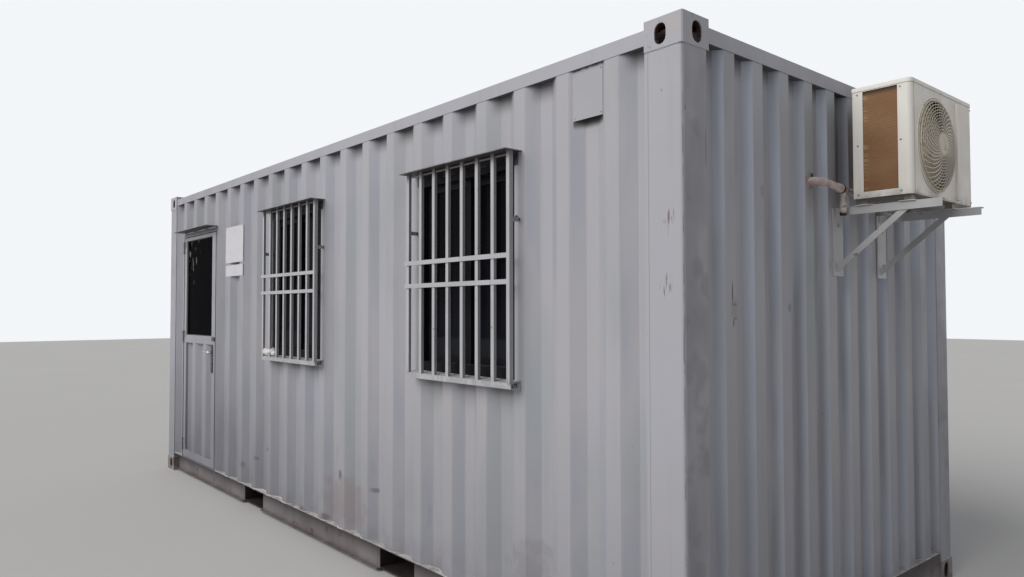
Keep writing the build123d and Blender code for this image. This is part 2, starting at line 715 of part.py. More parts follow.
def unit_coil():
    x0, x1 = UNIT_X + UNIT_T, UNIT_X + UNIT_D - UNIT_T
    y0, y1 = UNIT_Y + UNIT_T, UNIT_Y + UNIT_W * 2 / 3
    z0, z1 = UNIT_Z + UNIT_T, UNIT_Z + UNIT_H - UNIT_T
    coil = block(x0, x1 - COIL_FRONT + COIL_LAP, y0, y0 + COIL_T, z0, z1)
    return [coil + block(x0, x0 + COIL_T, y0, y1, z0, z1)]


def unit_fan():
    x0 = UNIT_X + UNIT_D - UNIT_T - FAN_SETBACK - FAN_D
    axis = Plane((x0, FAN_Y, FAN_Z), z_dir=(1, 0, 0))
    hub = extrude(axis * Circle(FAN_HUB_R), FAN_D) - extrude(axis * Circle(SHAFT_R + 1), FAN_D / 2 + 2)
    fan = hub
    for k in range(FAN_BLADES):
        turn = Rot(0, 0, 360 * k / FAN_BLADES)
        length = FAN_R - FAN_HUB_R + 8
        box = Pos(FAN_HUB_R - 8 + length / 2, 0, FAN_D / 2) * Rot(38, 0, 0) * Box(length, FAN_D * 1.5, 3)
        band = extrude(Circle(FAN_R), FAN_D)
        fan += axis * (turn * (box & band))
    return [fan]


# Fan guard: a dome of slats that lean in a spiral from the hub disc to the rim, tied by one ring
def guard_slat(inner_r, outer_r):
    sides = ([], [])
    for k in range(GUARD_BENDS + 1):
        share = k / GUARD_BENDS
        r = inner_r + (outer_r - inner_r) * share
        angle = math.radians(GUARD_TURN * share)
        half = math.asin(GUARD_SLAT_T / 2 / r)
        for side, a in zip(sides, (angle - half, angle + half)):
            side.append((r * math.cos(a), r * math.sin(a)))
    return make_face(Polyline(*sides[0], *reversed(sides[1]), close=True))


def fan_guard():
    face = Plane((UNIT_X + UNIT_D, FAN_Y, FAN_Z), z_dir=(1, 0, 0))
    slat = guard_slat(FAN_HUB_R - GUARD_SLAT_T, FAN_HOLE_R - GUARD_SLAT_T)
    mid_r = (FAN_HUB_R + FAN_HOLE_R) / 2
    ring = RegularPolygon(mid_r + GUARD_SLAT_T / 2, GUARD_SLATS)
    ring -= RegularPolygon(mid_r - GUARD_SLAT_T / 2, GUARD_SLATS)
    web = [Rot(0, 0, 360 * k / GUARD_SLATS) * slat for k in range(GUARD_SLATS)]
    outline = RegularPolygon(FAN_HUB_R, GUARD_SLATS).fuse(ring, *web)

    def mound(out):
        rows = [(FAN_HOLE_R, out - GUARD_D), (FAN_HOLE_R, out), (GUARD_SHOULDER_R, GUARD_SHOULDER + out),
                (FAN_HUB_R, GUARD_BULGE + out)]
        levels = [face * Pos(0, 0, x) * RegularPolygon(r, GUARD_SLATS) for r, x in rows]
        steps = [loft([low, high], ruled=True) for low, high in zip(levels, levels[1:])]
        return steps[0].fuse(*steps[1:])

    dome = extrude(face * outline, GUARD_BULGE + GUARD_D) & (mound(GUARD_D) - mound(0))
    rim = extrude(face * (Circle(FAN_HOLE_R + GUARD_RIM) - Circle(FAN_HOLE_R - GUARD_RIM)), GUARD_D)
    return [dome + rim]


def unit_brackets():
    brackets = []
    root = WALL_X + PLATE_T
    for y in ARM_Y:
        plate = block(WALL_X, root, y - PLATE_W / 2, y + PLATE_W / 2, ARM_TOP_Z - PLATE_H, ARM_TOP_Z)
        section = [(y - ARM / 2, ARM_TOP_Z), (y + ARM / 2, ARM_TOP_Z), (y + ARM / 2, ARM_TOP_Z - ARM_T),
                   (y - ARM / 2 + ARM_T, ARM_TOP_Z - ARM_T), (y - ARM / 2 + ARM_T, ARM_TOP_Z - ARM),
                   (y - ARM / 2, ARM_TOP_Z - ARM)]
        arm = Pos(root, 0, 0) * prism(section, Plane.YZ, ARM_LEN)
        low = (root, ARM_TOP_Z - BRACE_DROP)
        high = (root + BRACE_REACH, ARM_TOP_Z - ARM_T)
        slope = math.atan2(high[1] - low[1], high[0] - low[0])
        rise = BRACE_W / math.cos(slope)
        brace = [low, high, (high[0] - BRACE_W / math.sin(slope), high[1]), (low[0], low[1] + rise)]
        side = Plane((0, y - ARM / 2 + ARM_T + BRACE_T, 0), x_dir=(1, 0, 0), z_dir=(0, -1, 0))
        bracket = plate + arm + prism(brace, side, BRACE_T)
        for x in (UNIT_X + FOOT, UNIT_X + UNIT_D - FOOT):
            bracket += block(x - FOOT / 2, x + FOOT / 2, y - FOOT / 2, y + FOOT / 2, ARM_TOP_Z, UNIT_Z)
        brackets.append(bracket)
    return brackets


def unit_pipe():
    reach = UNIT_X - UNIT_GAP / 2 - WALL_X
    run = UNIT_Y + UNIT_W - PIPE_END_GAP - PIPE_Y
    slope = Plane((WALL_X, PIPE_Y, PIPE_Z), x_dir=(1, 0, 0), z_dir=(0, PIPE_FALL, 1))
    bend = Polyline((0, 0), (reach, 0), (reach, run))
    bend = fillet(bend.vertices().sort_by_distance((reach, 0, 0))[0], reach - 4)
    path = slope * bend
    pipe = sweep(Plane(path @ 0, z_dir=path % 0) * RegularPolygon(PIPE_R, PIPE_SIDES), path=path)
    fall = PIPE_FALL * (UNIT_Y - STUB_SET - PIPE_Y)
    stub = Pos(WALL_X + reach, UNIT_Y - STUB_SET, PIPE_Z - fall - STUB_L / 2)
    return [pipe + stub * Cylinder(STUB_R, STUB_L)]


def shapes():
    nodes = {
        "corner_castings": corner_castings(),
        "corner_posts": corner_posts(),
        "top_rails": top_rails(),
        "base_side_rails": base_side_rails(),
        "base_end_rails": base_end_rails(),
        "fork_pockets": fork_pockets(),
        "cross_members": cross_members(),
        "floor_deck": [floor()],
        "roof_sheet": roof(),
        "ceiling_panel": [ceiling()],
    }
    nodes.update(front_walls())
    end_board = block(ROOM_X, LINING_X, -POST_Y, POST_Y, BASE_TOP, CEILING_Z)
    nodes.update({
        "back_wall": [mirror(side_sheet(-POST_X, POST_X, BASE_TOP, TOP_RAIL_Z), about=Plane.XZ)],
        "right_end_wall": [end_sheet()],
        "left_end_wall": [mirror(end_sheet(), about=Plane.YZ)],
        "front_lining": front_lining(),
        "back_lining": [block(-POST_X, POST_X, ROOM_Y, LINING_Y, BASE_TOP, CEILING_Z)],
        "end_linings": both_ends(end_board),
        "door_frame": door_frame(),
        "door_leaf": door_leaf(),
        "door_lower_panel": door_lower_panel(),
        "door_glass": door_glass(),
        "frame_hinges": frame_hinges(),
        "leaf_hinges": leaf_hinges(),
        "door_lock": door_lock(),
        "door_lever": door_lever(),
        "window_frames": [window_frame(c) for c in WIN_CENTRES],
        "window_glass": [p for c in WIN_CENTRES for p in window_panes(c)],
        "left_window_grille": [window_grille(WIN_CENTRES[0])],
        "right_window_grille": [window_grille(WIN_CENTRES[1])],
        "rain_hoods": hoods(),
        "window_sills": [window_sill(c) for c in WIN_CENTRES],
        "vent_cover": vent_cover(),
        "sign_plates": sign_plates(),
        "unit_casing": unit_casing(),
        "unit_coil": unit_coil(),
        "unit_fan": unit_fan(),
        "fan_guard": fan_guard(),
        "unit_brackets": unit_brackets(),
        "unit_pipe": unit_pipe(),
    })
    return nodes


os.makedirs("parts", exist_ok=True)
place = Pos(-ORIGIN_X, -ORIGIN_Y, 0)
for name, solids in shapes().items():
    placed = [place * s for s in solids]
    whole = placed[0] if len(placed) == 1 else Compound(children=placed)
    export_step(whole, f"parts/{name}.step")
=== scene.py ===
import math
import random

import bmesh
import bpy
from mathutils import Euler, Matrix, Vector


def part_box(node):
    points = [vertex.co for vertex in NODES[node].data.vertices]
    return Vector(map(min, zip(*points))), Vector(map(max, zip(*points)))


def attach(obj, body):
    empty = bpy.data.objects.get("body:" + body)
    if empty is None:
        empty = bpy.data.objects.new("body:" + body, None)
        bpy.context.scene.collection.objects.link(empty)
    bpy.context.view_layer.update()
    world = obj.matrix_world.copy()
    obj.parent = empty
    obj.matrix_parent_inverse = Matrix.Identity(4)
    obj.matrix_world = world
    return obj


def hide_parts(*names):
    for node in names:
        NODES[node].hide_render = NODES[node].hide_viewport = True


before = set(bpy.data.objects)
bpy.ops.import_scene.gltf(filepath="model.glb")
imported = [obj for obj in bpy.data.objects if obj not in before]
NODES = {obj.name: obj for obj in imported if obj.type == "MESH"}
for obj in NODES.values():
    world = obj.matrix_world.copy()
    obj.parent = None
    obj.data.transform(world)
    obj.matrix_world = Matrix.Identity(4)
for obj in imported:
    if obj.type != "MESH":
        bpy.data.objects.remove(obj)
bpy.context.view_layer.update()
FINISHES = {}

# The photograph's camera, in metres and degrees
CAMERA_PLACE = (4.4565, -3.39, 1.4983)
CAMERA_TURN = 49.537
CAMERA_RISE = 1.695
CAMERA_ROLL = -0.084
CAMERA_LENS = 26.51
SENSOR_WIDTH = 36.0

# Light
SKY_STRENGTH = 0.37
KEY_STRENGTH = 2.1
KEY_SPREAD = 50
KEY_TILT = 53
KEY_TURN = -14

# Places read from the frame
CASTING_LOW, CASTING_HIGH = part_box("corner_castings")
MIDDLE_X = (CASTING_LOW[0] + CASTING_HIGH[0]) / 2
MIDDLE_Y = (CASTING_LOW[1] + CASTING_HIGH[1]) / 2
HALF_LENGTH = (CASTING_HIGH[0] - CASTING_LOW[0]) / 2
HALF_WIDTH = (CASTING_HIGH[1] - CASTING_LOW[1]) / 2
TOP = CASTING_HIGH[2]
POST_LOW, POST_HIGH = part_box("corner_posts")
CASTING_FOOT = POST_LOW[2]
CASTING_NECK = POST_HIGH[2]
CASTING_X = 0.178
FRONT_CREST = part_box("front_wall_right")[0][1]
BACK_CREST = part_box("back_wall")[1][1]
RIGHT_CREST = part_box("right_end_wall")[1][0]
LEFT_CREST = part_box("left_end_wall")[0][0]
WALL_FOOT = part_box("back_wall")[0][2]
WALL_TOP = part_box("back_wall")[1][2]

# Waves of the walls, as the place of one edge, the pitch and the widths
SIDE_WAVE = (2.493, 0.278, 0.072, 0.068, 0.036)
END_WAVE = (-0.831, 0.202, 0.072, 0.027, 0.036)
WAVE_STEP = 0.024

# Ways out of a face, and sizes and places of small things
TO_FRONT = (0, -1, 0)
TO_RIGHT = (1, 0, 0)
RIVET = 0.0036
PLATE_GAP_Z = 1.875
DOOR_HEAD_Z = (2.165, 2.2)
VENT_MOUTH_X = (2.234, 2.404)
VENT_MOUTH_Z = (2.25, 2.28)
POST_SCRATCHES = ((2.72, 1.795), (2.744, 1.845), (2.734, 1.6), (2.712, 1.575))

# Windows: centres, half width of the wall's opening, places of the grilles
WINDOW_CENTRES = (-0.445, 1.481)
WINDOW_HALF = 0.382
GRILLE_HALF = 0.431
WINDOW_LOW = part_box("window_frames")[0][2]
WINDOW_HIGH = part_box("window_frames")[1][2]
HOOD_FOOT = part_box("rain_hoods")[0][2]

# Cooling unit and its fan
UNIT_LOW, UNIT_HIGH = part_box("unit_casing")
UNIT_LOW, UNIT_HIGH = Vector(UNIT_LOW), Vector(UNIT_HIGH)
GUARD_LOW, GUARD_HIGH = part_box("fan_guard")
UNIT_FACE = GUARD_LOW[0]
FAN_CENTRE = (GUARD_LOW[1] + GUARD_HIGH[1]) / 2
FAN_HEIGHT = (GUARD_LOW[2] + GUARD_HIGH[2]) / 2

# Paints, rust, dirt and painted shade as linear colours
SHELL = (0.415, 0.412, 0.452)
SHELL_WARM = (0.418, 0.408, 0.432)
SHELL_BLUE = (0.335, 0.352, 0.415)
SHELL_TEAL = (0.33, 0.358, 0.372)
SHELL_SHADE = (0.15, 0.15, 0.172)
SHELL_STREAK = (0.29, 0.292, 0.325)
GRIME_AND_SHADE = (0.165, 0.15, 0.152)
SMUDGE_AND_SHADE = (0.12, 0.122, 0.138)
SCRAPE = (0.12, 0.08, 0.07)
BLACK_SCUFF = (0.1, 0.08, 0.08)
MUD_SCUFF = (0.12, 0.09, 0.08)
DUST = (0.52, 0.5, 0.49)
RUST = (0.12, 0.052, 0.03)
DARK_RUST = (0.03, 0.018, 0.014)
SHADOW_DIRT = (0.045, 0.038, 0.038)
BASE_GREY = (0.145, 0.13, 0.136)
CASTING_GREY = (0.44, 0.412, 0.425)
GRILLE_GREY = (0.47, 0.465, 0.49)

random.seed(7)


class Coat:
    """A finish under way: a colour that takes layer over layer, then roughness and relief."""

    def __init__(self, name, roughness=0.5, metallic=0.0, specular=0.5):
        self.name = name
        self.material = bpy.data.materials.new(name)
        self.material.use_nodes = True
        self.tree = self.material.node_tree
        self.shader = self.tree.nodes["Principled BSDF"]
        self.shader.inputs["Roughness"].default_value = roughness
        self.shader.inputs["Metallic"].default_value = metallic
        self.shader.inputs["Specular IOR Level"].default_value = specular
        self.place = self.add("TexCoord").outputs["Object"]
        split = self.add("SeparateXYZ", Vector=self.place)
        self.x, self.y, self.z = split.outputs[0], split.outputs[1], split.outputs[2]
        self.colour = None

    def add(self, kind, **inputs):
        node = self.tree.nodes.new("ShaderNode" + kind)
        for name, value in inputs.items():
            self.put(node.inputs[name], value)
        return node

    def put(self, socket, value):
        if isinstance(value, bpy.types.NodeSocket):
            self.tree.links.new(value, socket)
        elif hasattr(socket.default_value, "__len__") and len(value) < len(socket.default_value):
            socket.default_value = (*value, 1.0)
        else:
            socket.default_value = value

    def noise(self, scale, stretch=(1, 1, 1), detail=3.0, at=0.0):
        spot = self.add("Mapping", Vector=self.place, Scale=stretch, Location=(at, at, at))
        cloud = self.add("TexNoise", Vector=spot.outputs[0], Scale=scale, Detail=detail)
        return cloud.outputs["Fac"]

    def normal(self, axis):
        split = self.add("SeparateXYZ", Vector=self.add("NewGeometry").outputs["Normal"])
        return split.outputs["XYZ".index(axis)]

    def math(self, operation, a, b=0.0):
        node = self.add("Math")
        node.operation = operation
        self.put(node.inputs[0], a)
        self.put(node.inputs[1], b)
        return node.outputs[0]

    def plus(self, a, b):
        return self.math("ADD", a, b)

    def minus(self, a, b):
        return self.math("SUBTRACT", a, b)

    def both(self, first, *others):
        for other in others:
            first = self.math("MULTIPLY", first, other)
        return first

    def either(self, a, b):
        return self.math("MAXIMUM", a, b)

    def off(self, value, centre):
        return self.math("ABSOLUTE", self.minus(value, centre))

    # Soft step from low to high, which may also fall
    def band(self, value, low, high, least=0.0, most=1.0):
        node = self.add("MapRange", Value=value)
        node.interpolation_type = "SMOOTHSTEP"
        for name, number in zip(("From Min", "From Max", "To Min", "To Max"), (low, high, least, most)):
            node.inputs[name].default_value = number
        return node.outputs[0]

    # The same step over noise, over height and over the way a face looks
    def cloud(self, span, *noise, **more):
        return self.band(self.noise(*noise, **more), *span)

    def rise(self, *span):
        return self.band(self.z, *span)

    def facing(self, axis, low, high):
        return self.band(self.normal(axis), low, high)

    def between(self, value, low, high, soft):
        half = (high - low) / 2
        return self.band(self.off(value, (low + high) / 2), half + soft, half - soft)

    # Round or long mark about one place on a wall, with a ragged edge
    def mark(self, along, centre, height, wide, tall, ragged=0.35, at=0.0):
        a = self.math("DIVIDE", self.minus(along, centre), wide)
        b = self.math("DIVIDE", self.minus(self.z, height), tall)
        far = self.plus(self.both(a, a), self.both(b, b))
        edge = self.both(self.minus(self.noise(15.0, detail=6, at=at), 0.5), ragged * 9)
        return self.band(self.plus(far, edge), 1.4, 0.1)

    def mix(self, mask, under, over):
        node = self.add("Mix")
        node.data_type = "RGBA"
        for socket, value in ((node.inputs[0], mask), (node.inputs[6], under), (node.inputs[7], over)):
            self.put(socket, value)
        return node.outputs[2]

    # First two tones, as a mask between them or as clouds of one scale
    def start(self, mask, light, dark):
        self.colour = self.mix(mask, light, dark)

    def tones(self, scale, detail, light, dark):
        self.start(self.cloud((0.35, 0.65), scale, detail=detail), light, dark)

    # One more tone where all the masks meet
    def over(self, tint, *masks):
        self.colour = self.mix(self.both(*masks), self.colour, tint)

    # Painted shade, in soft clouds, that grows towards the ground and towards the door's end
    def painted_shade_low_and_far(self, most=1.0):
        low = self.rise(1.35, 0.1)
        far = self.band(self.x, 0.7, -2.0)
        share = self.plus(self.both(low, 0.42), self.both(far, 0.3))
        share = self.math("MINIMUM", self.plus(share, self.both(far, low, 0.16)), 0.88)
        self.over(SHELL_SHADE, share, self.cloud((0.3, 0.7, 0.8, 1.12), 1.7, (1, 1, 0.6), 4, 8.8), most)

    def finish(self, roughness=None, height=None, depth=0.001, strength=1.0):
        self.put(self.shader.inputs["Base Color"], self.colour)
        if roughness is not None:
            self.put(self.shader.inputs["Roughness"], roughness)
        if height is not None:
            bump = self.add("Bump", Height=height, Distance=depth, Strength=strength)
            self.put(self.shader.inputs["Normal"], bump.outputs[0])
        FINISHES[self.name] = self.material


# Paint of the corrugated walls, dirtier low in the troughs and near the ground, with painted shade under
# the top rail, the hoods and the sills, in the vent's mouth, and on the end walls by the way each face
# points
def wall_paint(name, across, crest, inward, marks=()):
    coat = Coat(name, specular=0.35)
    along = coat.x if across == "y" else coat.y
    depth = coat.both(coat.minus(getattr(coat, across), crest), inward)
    trough = coat.band(depth, 0.004, 0.03)
    slope = coat.both(coat.band(depth, 0.001, 0.006), coat.band(depth, 0.0352, 0.031))
    coat.start(coat.cloud((0.35, 0.65), 0.8, (1, 1, 0.6), 2), SHELL, SHELL_WARM)
    coat.over(SHELL_BLUE, slope, coat.cloud((0.4, 0.62, 0, 0.6), 1, (3.6, 3.6, 1.1), 3, 3.1))
    coat.over(SHELL_TEAL, coat.cloud((0.48, 0.66, 0, 0.55), 1, (2.9, 2.9, 0.9), 3, 6.4))
    coat.over(SHELL_STREAK, coat.cloud((0.5, 0.8, 0, 0.2), 1, (22, 22, 0.5), 3, 7.7))
    low = coat.rise(1, 0.15)
    foot = coat.rise(0.4, 0.16)
    clouds = coat.cloud((0.38, 0.7), 2.6, (1, 1, 0.7), 5, 1.3)
    coat.over(GRIME_AND_SHADE, foot, clouds, 0.3)
    coat.over(GRIME_AND_SHADE, foot, coat.cloud((0.35, 0.7), 9, at=4), 0.35)
    coat.over(SMUDGE_AND_SHADE, coat.cloud((0.6, 0.74), 7, (1, 1, 0.6), 5, 9.2), low, trough, 0.4)
    # Painted shade in the tops of the troughs, under the top rail
    coat.over(SHADOW_DIRT, coat.rise(WALL_TOP - 0.1, WALL_TOP - 0.002), trough, 0.7)
    coat.over(RUST, coat.cloud((0.75, 0.8), 46, at=2), coat.rise(2.4, 0.2, 0.1, 0.7))
    for centre, height, wide, tall, tint, strength, ragged in marks:
        coat.over(tint, coat.mark(along, centre, height, wide, tall, ragged, centre), strength)
    if across == "y" and inward > 0:
        for centre in WINDOW_CENTRES:
            # Painted shadow on the wall under each hood, above the window opening
            reach = coat.between(coat.x, centre - WINDOW_HALF - 0.03, centre + WINDOW_HALF + 0.03, 0.01)
            head = coat.rise(WINDOW_HIGH - 0.03, WINDOW_HIGH - 0.02)
            head = coat.both(head, coat.rise(HOOD_FOOT + 0.004, HOOD_FOOT - 0.002))
            coat.over((0.03, 0.025, 0.026), head, reach)
            # Painted shadow in the troughs under each sill
            sill = coat.rise(WINDOW_LOW - 0.095, WINDOW_LOW - 0.05)
            sill = coat.both(sill, coat.rise(WINDOW_LOW, WINDOW_LOW - 0.04), reach, trough)
            coat.over(GRIME_AND_SHADE, sill, 0.6)
        # Painted shade in the vent cover's mouth
        mouth = coat.both(coat.between(coat.x, *VENT_MOUTH_X, 0.004), coat.rise(*VENT_MOUTH_Z, 0, 0.95))
        coat.over(SHADOW_DIRT, mouth)
        coat.painted_shade_low_and_far()
    else:
        coat.painted_shade_low_and_far(0.7)
        # Painted shade on slopes that face +y, a painted bluish sheen on slopes that face -y, then painted
        # shade on the crests and, in clouds, in the troughs
        way = coat.normal("Y")
        coat.over(SHELL_SHADE, coat.band(way, 0.2, 0.6, 0, 0.62))
        sheen = coat.cloud((0.34, 0.62, 0.4, 1), 1, (2.5, 2.5, 0.9), 3, 5.2)
        sheen = coat.both(sheen, coat.rise(0.5, 1.9, 0.45, 1))
        slope = coat.band(way, -0.2, -0.6, 0, 0.85)
        coat.over((0.5, 0.54, 0.63), sheen, slope)
        coat.over(SHELL_SHADE, coat.band(depth, 0.004, 0.001), 0.14)
        coat.over(SHELL_SHADE, trough, coat.cloud((0.42, 0.62, 0, 0.35), 1, (4, 9, 0.8), 3, 2.2))
    peel = coat.both(coat.noise(170, detail=1), 0.02)
    height = coat.plus(coat.noise(1.9, (1, 1, 0.7), 2, 5.5), peel)
    coat.finish(coat.band(clouds, 0, 1, 0.42, 0.66), height, 0.016, 0.55)


# Paint of the rails and posts, with rust chips, and painted shade on what faces down, on the posts' +x
# faces, under the door's hood and towards the ground and the door's end
def rail_paint(name, warm=0.5, posts=False):
    coat = Coat(name, specular=0.35)
    coat.start(coat.cloud((0.35, 0.65, 0, warm), 1.1, detail=3), SHELL, SHELL_WARM)
    coat.over(SHELL_STREAK, coat.cloud((0.55, 0.8, 0, 0.3), 1, (14, 14, 0.8), 4, 6))
    coat.painted_shade_low_and_far(1 if name == "door_paint" else 0.75)
    chips = coat.cloud((0.72, 0.76), 42, (1, 1, 0.5), 4, 8)
    chips = coat.both(chips, coat.cloud((0.45, 0.6), 3, at=1.7))
    if posts:
        edge_x = coat.minus(HALF_LENGTH, coat.off(coat.x, MIDDLE_X))
        edge_y = coat.minus(HALF_WIDTH, coat.off(coat.y, MIDDLE_Y))
        sway = coat.both(coat.noise(7, (0, 0, 1), 4, 3), 0.012)
        line = coat.off(coat.minus(edge_x, coat.both(sway, 0.6)), 0.0045)
        ragged = coat.cloud((0.42, 0.6), 11, (0.2, 0.2, 1), 4, 5)
        line = coat.both(coat.band(line, 0.0026, 0.001), ragged, coat.band(edge_y, 0.012, 0.008))
        coat.over(SHADOW_DIRT, line, 0.5)
        inner = coat.off(coat.minus(edge_y, coat.both(sway, 0.8)), 0.137)
        inner = coat.both(coat.band(inner, 0.0035, 0.0012), coat.band(edge_x, 0.012, 0.008))
        inner = coat.both(inner, coat.between(coat.z, 2.04, 2.17, 0.03))
        coat.over(SHADOW_DIRT, inner, 0.8)
        weld = coat.off(coat.minus(edge_x, coat.both(sway, 0.3)), 0.16)
        weld = coat.both(coat.band(weld, 0.003, 0.001), coat.band(edge_y, 0.03, 0.02))
        coat.over(SMUDGE_AND_SHADE, weld, 0.4)
        scratch = coat.cloud((0.53, 0.6), 1, (120, 120, 12), 3, 4.4)
        for centre, height in POST_SCRATCHES:
            zone = coat.mark(coat.x, centre, height, 0.018, 0.04, 0.05, centre)
            coat.over((0.14, 0.1, 0.09), zone, scratch, 0.85)
        smudge = coat.both(coat.cloud((0.56, 0.68), 6, detail=3, at=9), coat.band(edge_y, 0.004, 0.02))
        coat.over(SMUDGE_AND_SHADE, smudge, 0.3)
        # Painted shade on the posts' faces that point +x
        soft = coat.cloud((0.4, 0.66, 0.1, 0.45), 1, (5, 5, 1.6), 3, 9.4)
        coat.over(SHELL_SHADE, coat.facing("X", 0.5, 0.9), soft)
    # Painted shadow across the door frame's head, under the hood
    if name == "door_paint":
        coat.over(SHADOW_DIRT, coat.rise(*DOOR_HEAD_Z), 0.5)
    # Painted shade on every face that points down
    coat.over(SHADOW_DIRT, coat.facing("Z", -0.5, -0.9), 0.85)
    coat.over(RUST, chips, 0.6)
    height = coat.minus(coat.noise(3, detail=2), coat.both(chips, 0.15))
    coat.finish(coat.cloud((0.3, 0.7, 0.42, 0.62), 7), height, 0.008, 0.5)


# Base paint: brown-grey channel, painted shadow under the top flange, dusty flange, mud towards the ground
def base_paint():
    coat = Coat("base_paint", specular=0.25)
    coat.tones(2.5, 4, BASE_GREY, (0.215, 0.192, 0.196))
    coat.over((0.125, 0.108, 0.108), coat.cloud((0.5, 0.7), 1, (9, 9, 2), 4, 8.5), 0.5)
    # Painted shadow on the web under the top flange
    coat.over(SHADOW_DIRT, coat.rise(0.03, WALL_FOOT - 0.012), 0.8)
    low = coat.rise(0.06, 0.01)
    coat.over((0.085, 0.058, 0.048), low, coat.cloud((0.3, 0.55, 0.4, 1), 9, (1, 1, 1.6), 5, 3), 0.45)
    rusty = coat.cloud((0.6, 0.7), 14, detail=5, at=6)
    coat.over((0.085, 0.045, 0.034), rusty, coat.rise(0.16, 0.02, 0.1, 0.8))
    lying = coat.both(coat.facing("Z", 0.6, 0.9), coat.rise(0.1, 0.15))
    lying = coat.both(lying, coat.cloud((0.3, 0.6, 0.5, 1), 13, at=1))
    coat.over(DUST, lying)
    height = coat.plus(coat.noise(20, detail=5), coat.both(rusty, 0.3))
    coat.finish(coat.band(rusty, 0, 1, 0.6, 0.85), height, 0.003, 0.6)


# Casting paint: pinkish grey outside, bare rust inside the slots
def casting_paint():
    coat = Coat("casting_paint", specular=0.3)
    along = coat.off(coat.x, MIDDLE_X)
    aside = coat.off(coat.y, MIDDLE_Y)
    skin, deep = 0.001, 0.008
    inside = coat.both(
        coat.band(along, HALF_LENGTH - skin, HALF_LENGTH - deep),
        coat.band(aside, HALF_WIDTH - skin, HALF_WIDTH - deep),
        coat.band(coat.off(coat.z, TOP / 2), TOP / 2 - skin, TOP / 2 - deep),
        coat.band(along, HALF_LENGTH - 0.177, HALF_LENGTH - 0.168),
        coat.band(aside, HALF_WIDTH - 0.161, HALF_WIDTH - 0.152))
    coat.tones(7, 4, CASTING_GREY, SHELL)
    low = coat.rise(0.5, 0)
    scabs = coat.cloud((0.6, 0.7), 22, detail=5, at=3)
    mud = coat.both(low, coat.cloud((0.25, 0.6, 0.35, 0.9), 8, at=5))
    coat.over((0.11, 0.072, 0.058), mud)
    coat.over(RUST, scabs, 0.3)
    coat.over(coat.mix(coat.noise(30), DARK_RUST, (0.06, 0.032, 0.024)), inside)
    coat.finish(coat.band(mud, 0, 1, 0.5, 0.85), coat.noise(60, detail=5), 0.002, 0.5)


# Grille and sill paint, with thin runs of dirt and rust at the welds, and painted shade under the hoods
# and on the bars' +x sides
def grille_paint():
    coat = Coat("grille_paint", specular=0.4)
    coat.tones(5, 3, GRILLE_GREY, (0.43, 0.42, 0.44))
    coat.over(GRIME_AND_SHADE, coat.cloud((0.6, 0.8, 0, 0.5), 1, (45, 45, 3), 4, 2))
    lower = coat.both(coat.rise(WINDOW_LOW + 0.03, WINDOW_LOW - 0.012), 0.5)
    coat.over(GRIME_AND_SHADE, lower, coat.cloud((0.4, 0.6), 30, at=6), 0.5)
    # Painted shade at the bars' tops under the hood, and on their sides that face +x
    coat.over(GRIME_AND_SHADE, coat.rise(HOOD_FOOT - 0.05, HOOD_FOOT - 0.012), 0.8)
    coat.over(SMUDGE_AND_SHADE, coat.facing("X", 0.6, 0.9), 0.38)
    spots = coat.cloud((0.7, 0.75), 55, detail=4, at=4)
    coat.over(RUST, spots, 0.8)
    coat.finish(coat.band(spots, 0, 1, 0.42, 0.8), coat.noise(120, detail=2), 0.0008, 0.4)


# Hoods: painted above, painted shade on the faces that point down, dirt along the front edge and rust
# spots
def hood_paint():
    coat = Coat("hood_paint", specular=0.35)
    coat.tones(4, 3, (0.33, 0.32, 0.34), (0.2, 0.185, 0.19))
    # Painted shade on the faces that point down
    coat.over((0.07, 0.056, 0.056), coat.facing("Z", -0.2, -0.8), 0.9)
    front = coat.both(coat.facing("Y", -0.5, -0.9), coat.cloud((0.3, 0.6), 40, at=2))
    coat.over((0.12, 0.1, 0.1), front, 0.75)
    spots = coat.cloud((0.6, 0.68), 36, detail=4, at=4)
    coat.over(RUST, spots, 0.7)
    coat.finish(coat.band(spots, 0, 1, 0.45, 0.8), coat.noise(90, detail=3), 0.001, 0.4)


def vent_paint():
    coat = Coat("vent_paint", specular=0.35)
    coat.tones(3, 3, SHELL, (0.392, 0.388, 0.42))
    depth = coat.minus(coat.y, FRONT_CREST)
    # Painted shade deep in the cover's mouth and along its right edge
    coat.over(SHADOW_DIRT, coat.band(depth, 0.0105, 0.012), 0.9)
    coat.over(SHADOW_DIRT, coat.band(coat.off(coat.x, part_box("vent_cover")[1][0]), 0.004, 0.0022), 0.75)
    top = coat.both(coat.rise(WALL_TOP - 0.012, WALL_TOP - 0.003), coat.cloud((0.4, 0.55), 60))
    coat.over((0.1, 0.07, 0.06), top, 0.8)
    coat.finish(coat.cloud((0.3, 0.7, 0.42, 0.6), 9), coat.noise(2.2), 0.006, 0.5)


def dark_alloy():
    coat = Coat("dark_alloy", specular=0.04)
    coat.start(coat.cloud((0.3, 0.7), 6), (0.008, 0.008, 0.01), (0.014, 0.014, 0.017))
    # Painted shade on the frames' heads under the hoods
    coat.over((0.018, 0.016, 0.018), coat.rise(WINDOW_HIGH - 0.075, WINDOW_HIGH - 0.06), 0.8)
    dusty = coat.both(coat.facing("Z", 0.5, 0.9), coat.cloud((0.35, 0.65), 24))
    coat.over((0.1, 0.098, 0.095), dusty, 0.6)
    brushed = coat.noise(1, (500, 500, 12), 2)
    coat.finish(coat.band(dusty, 0, 1, 0.42, 0.7), brushed, 0.0003, 0.3)


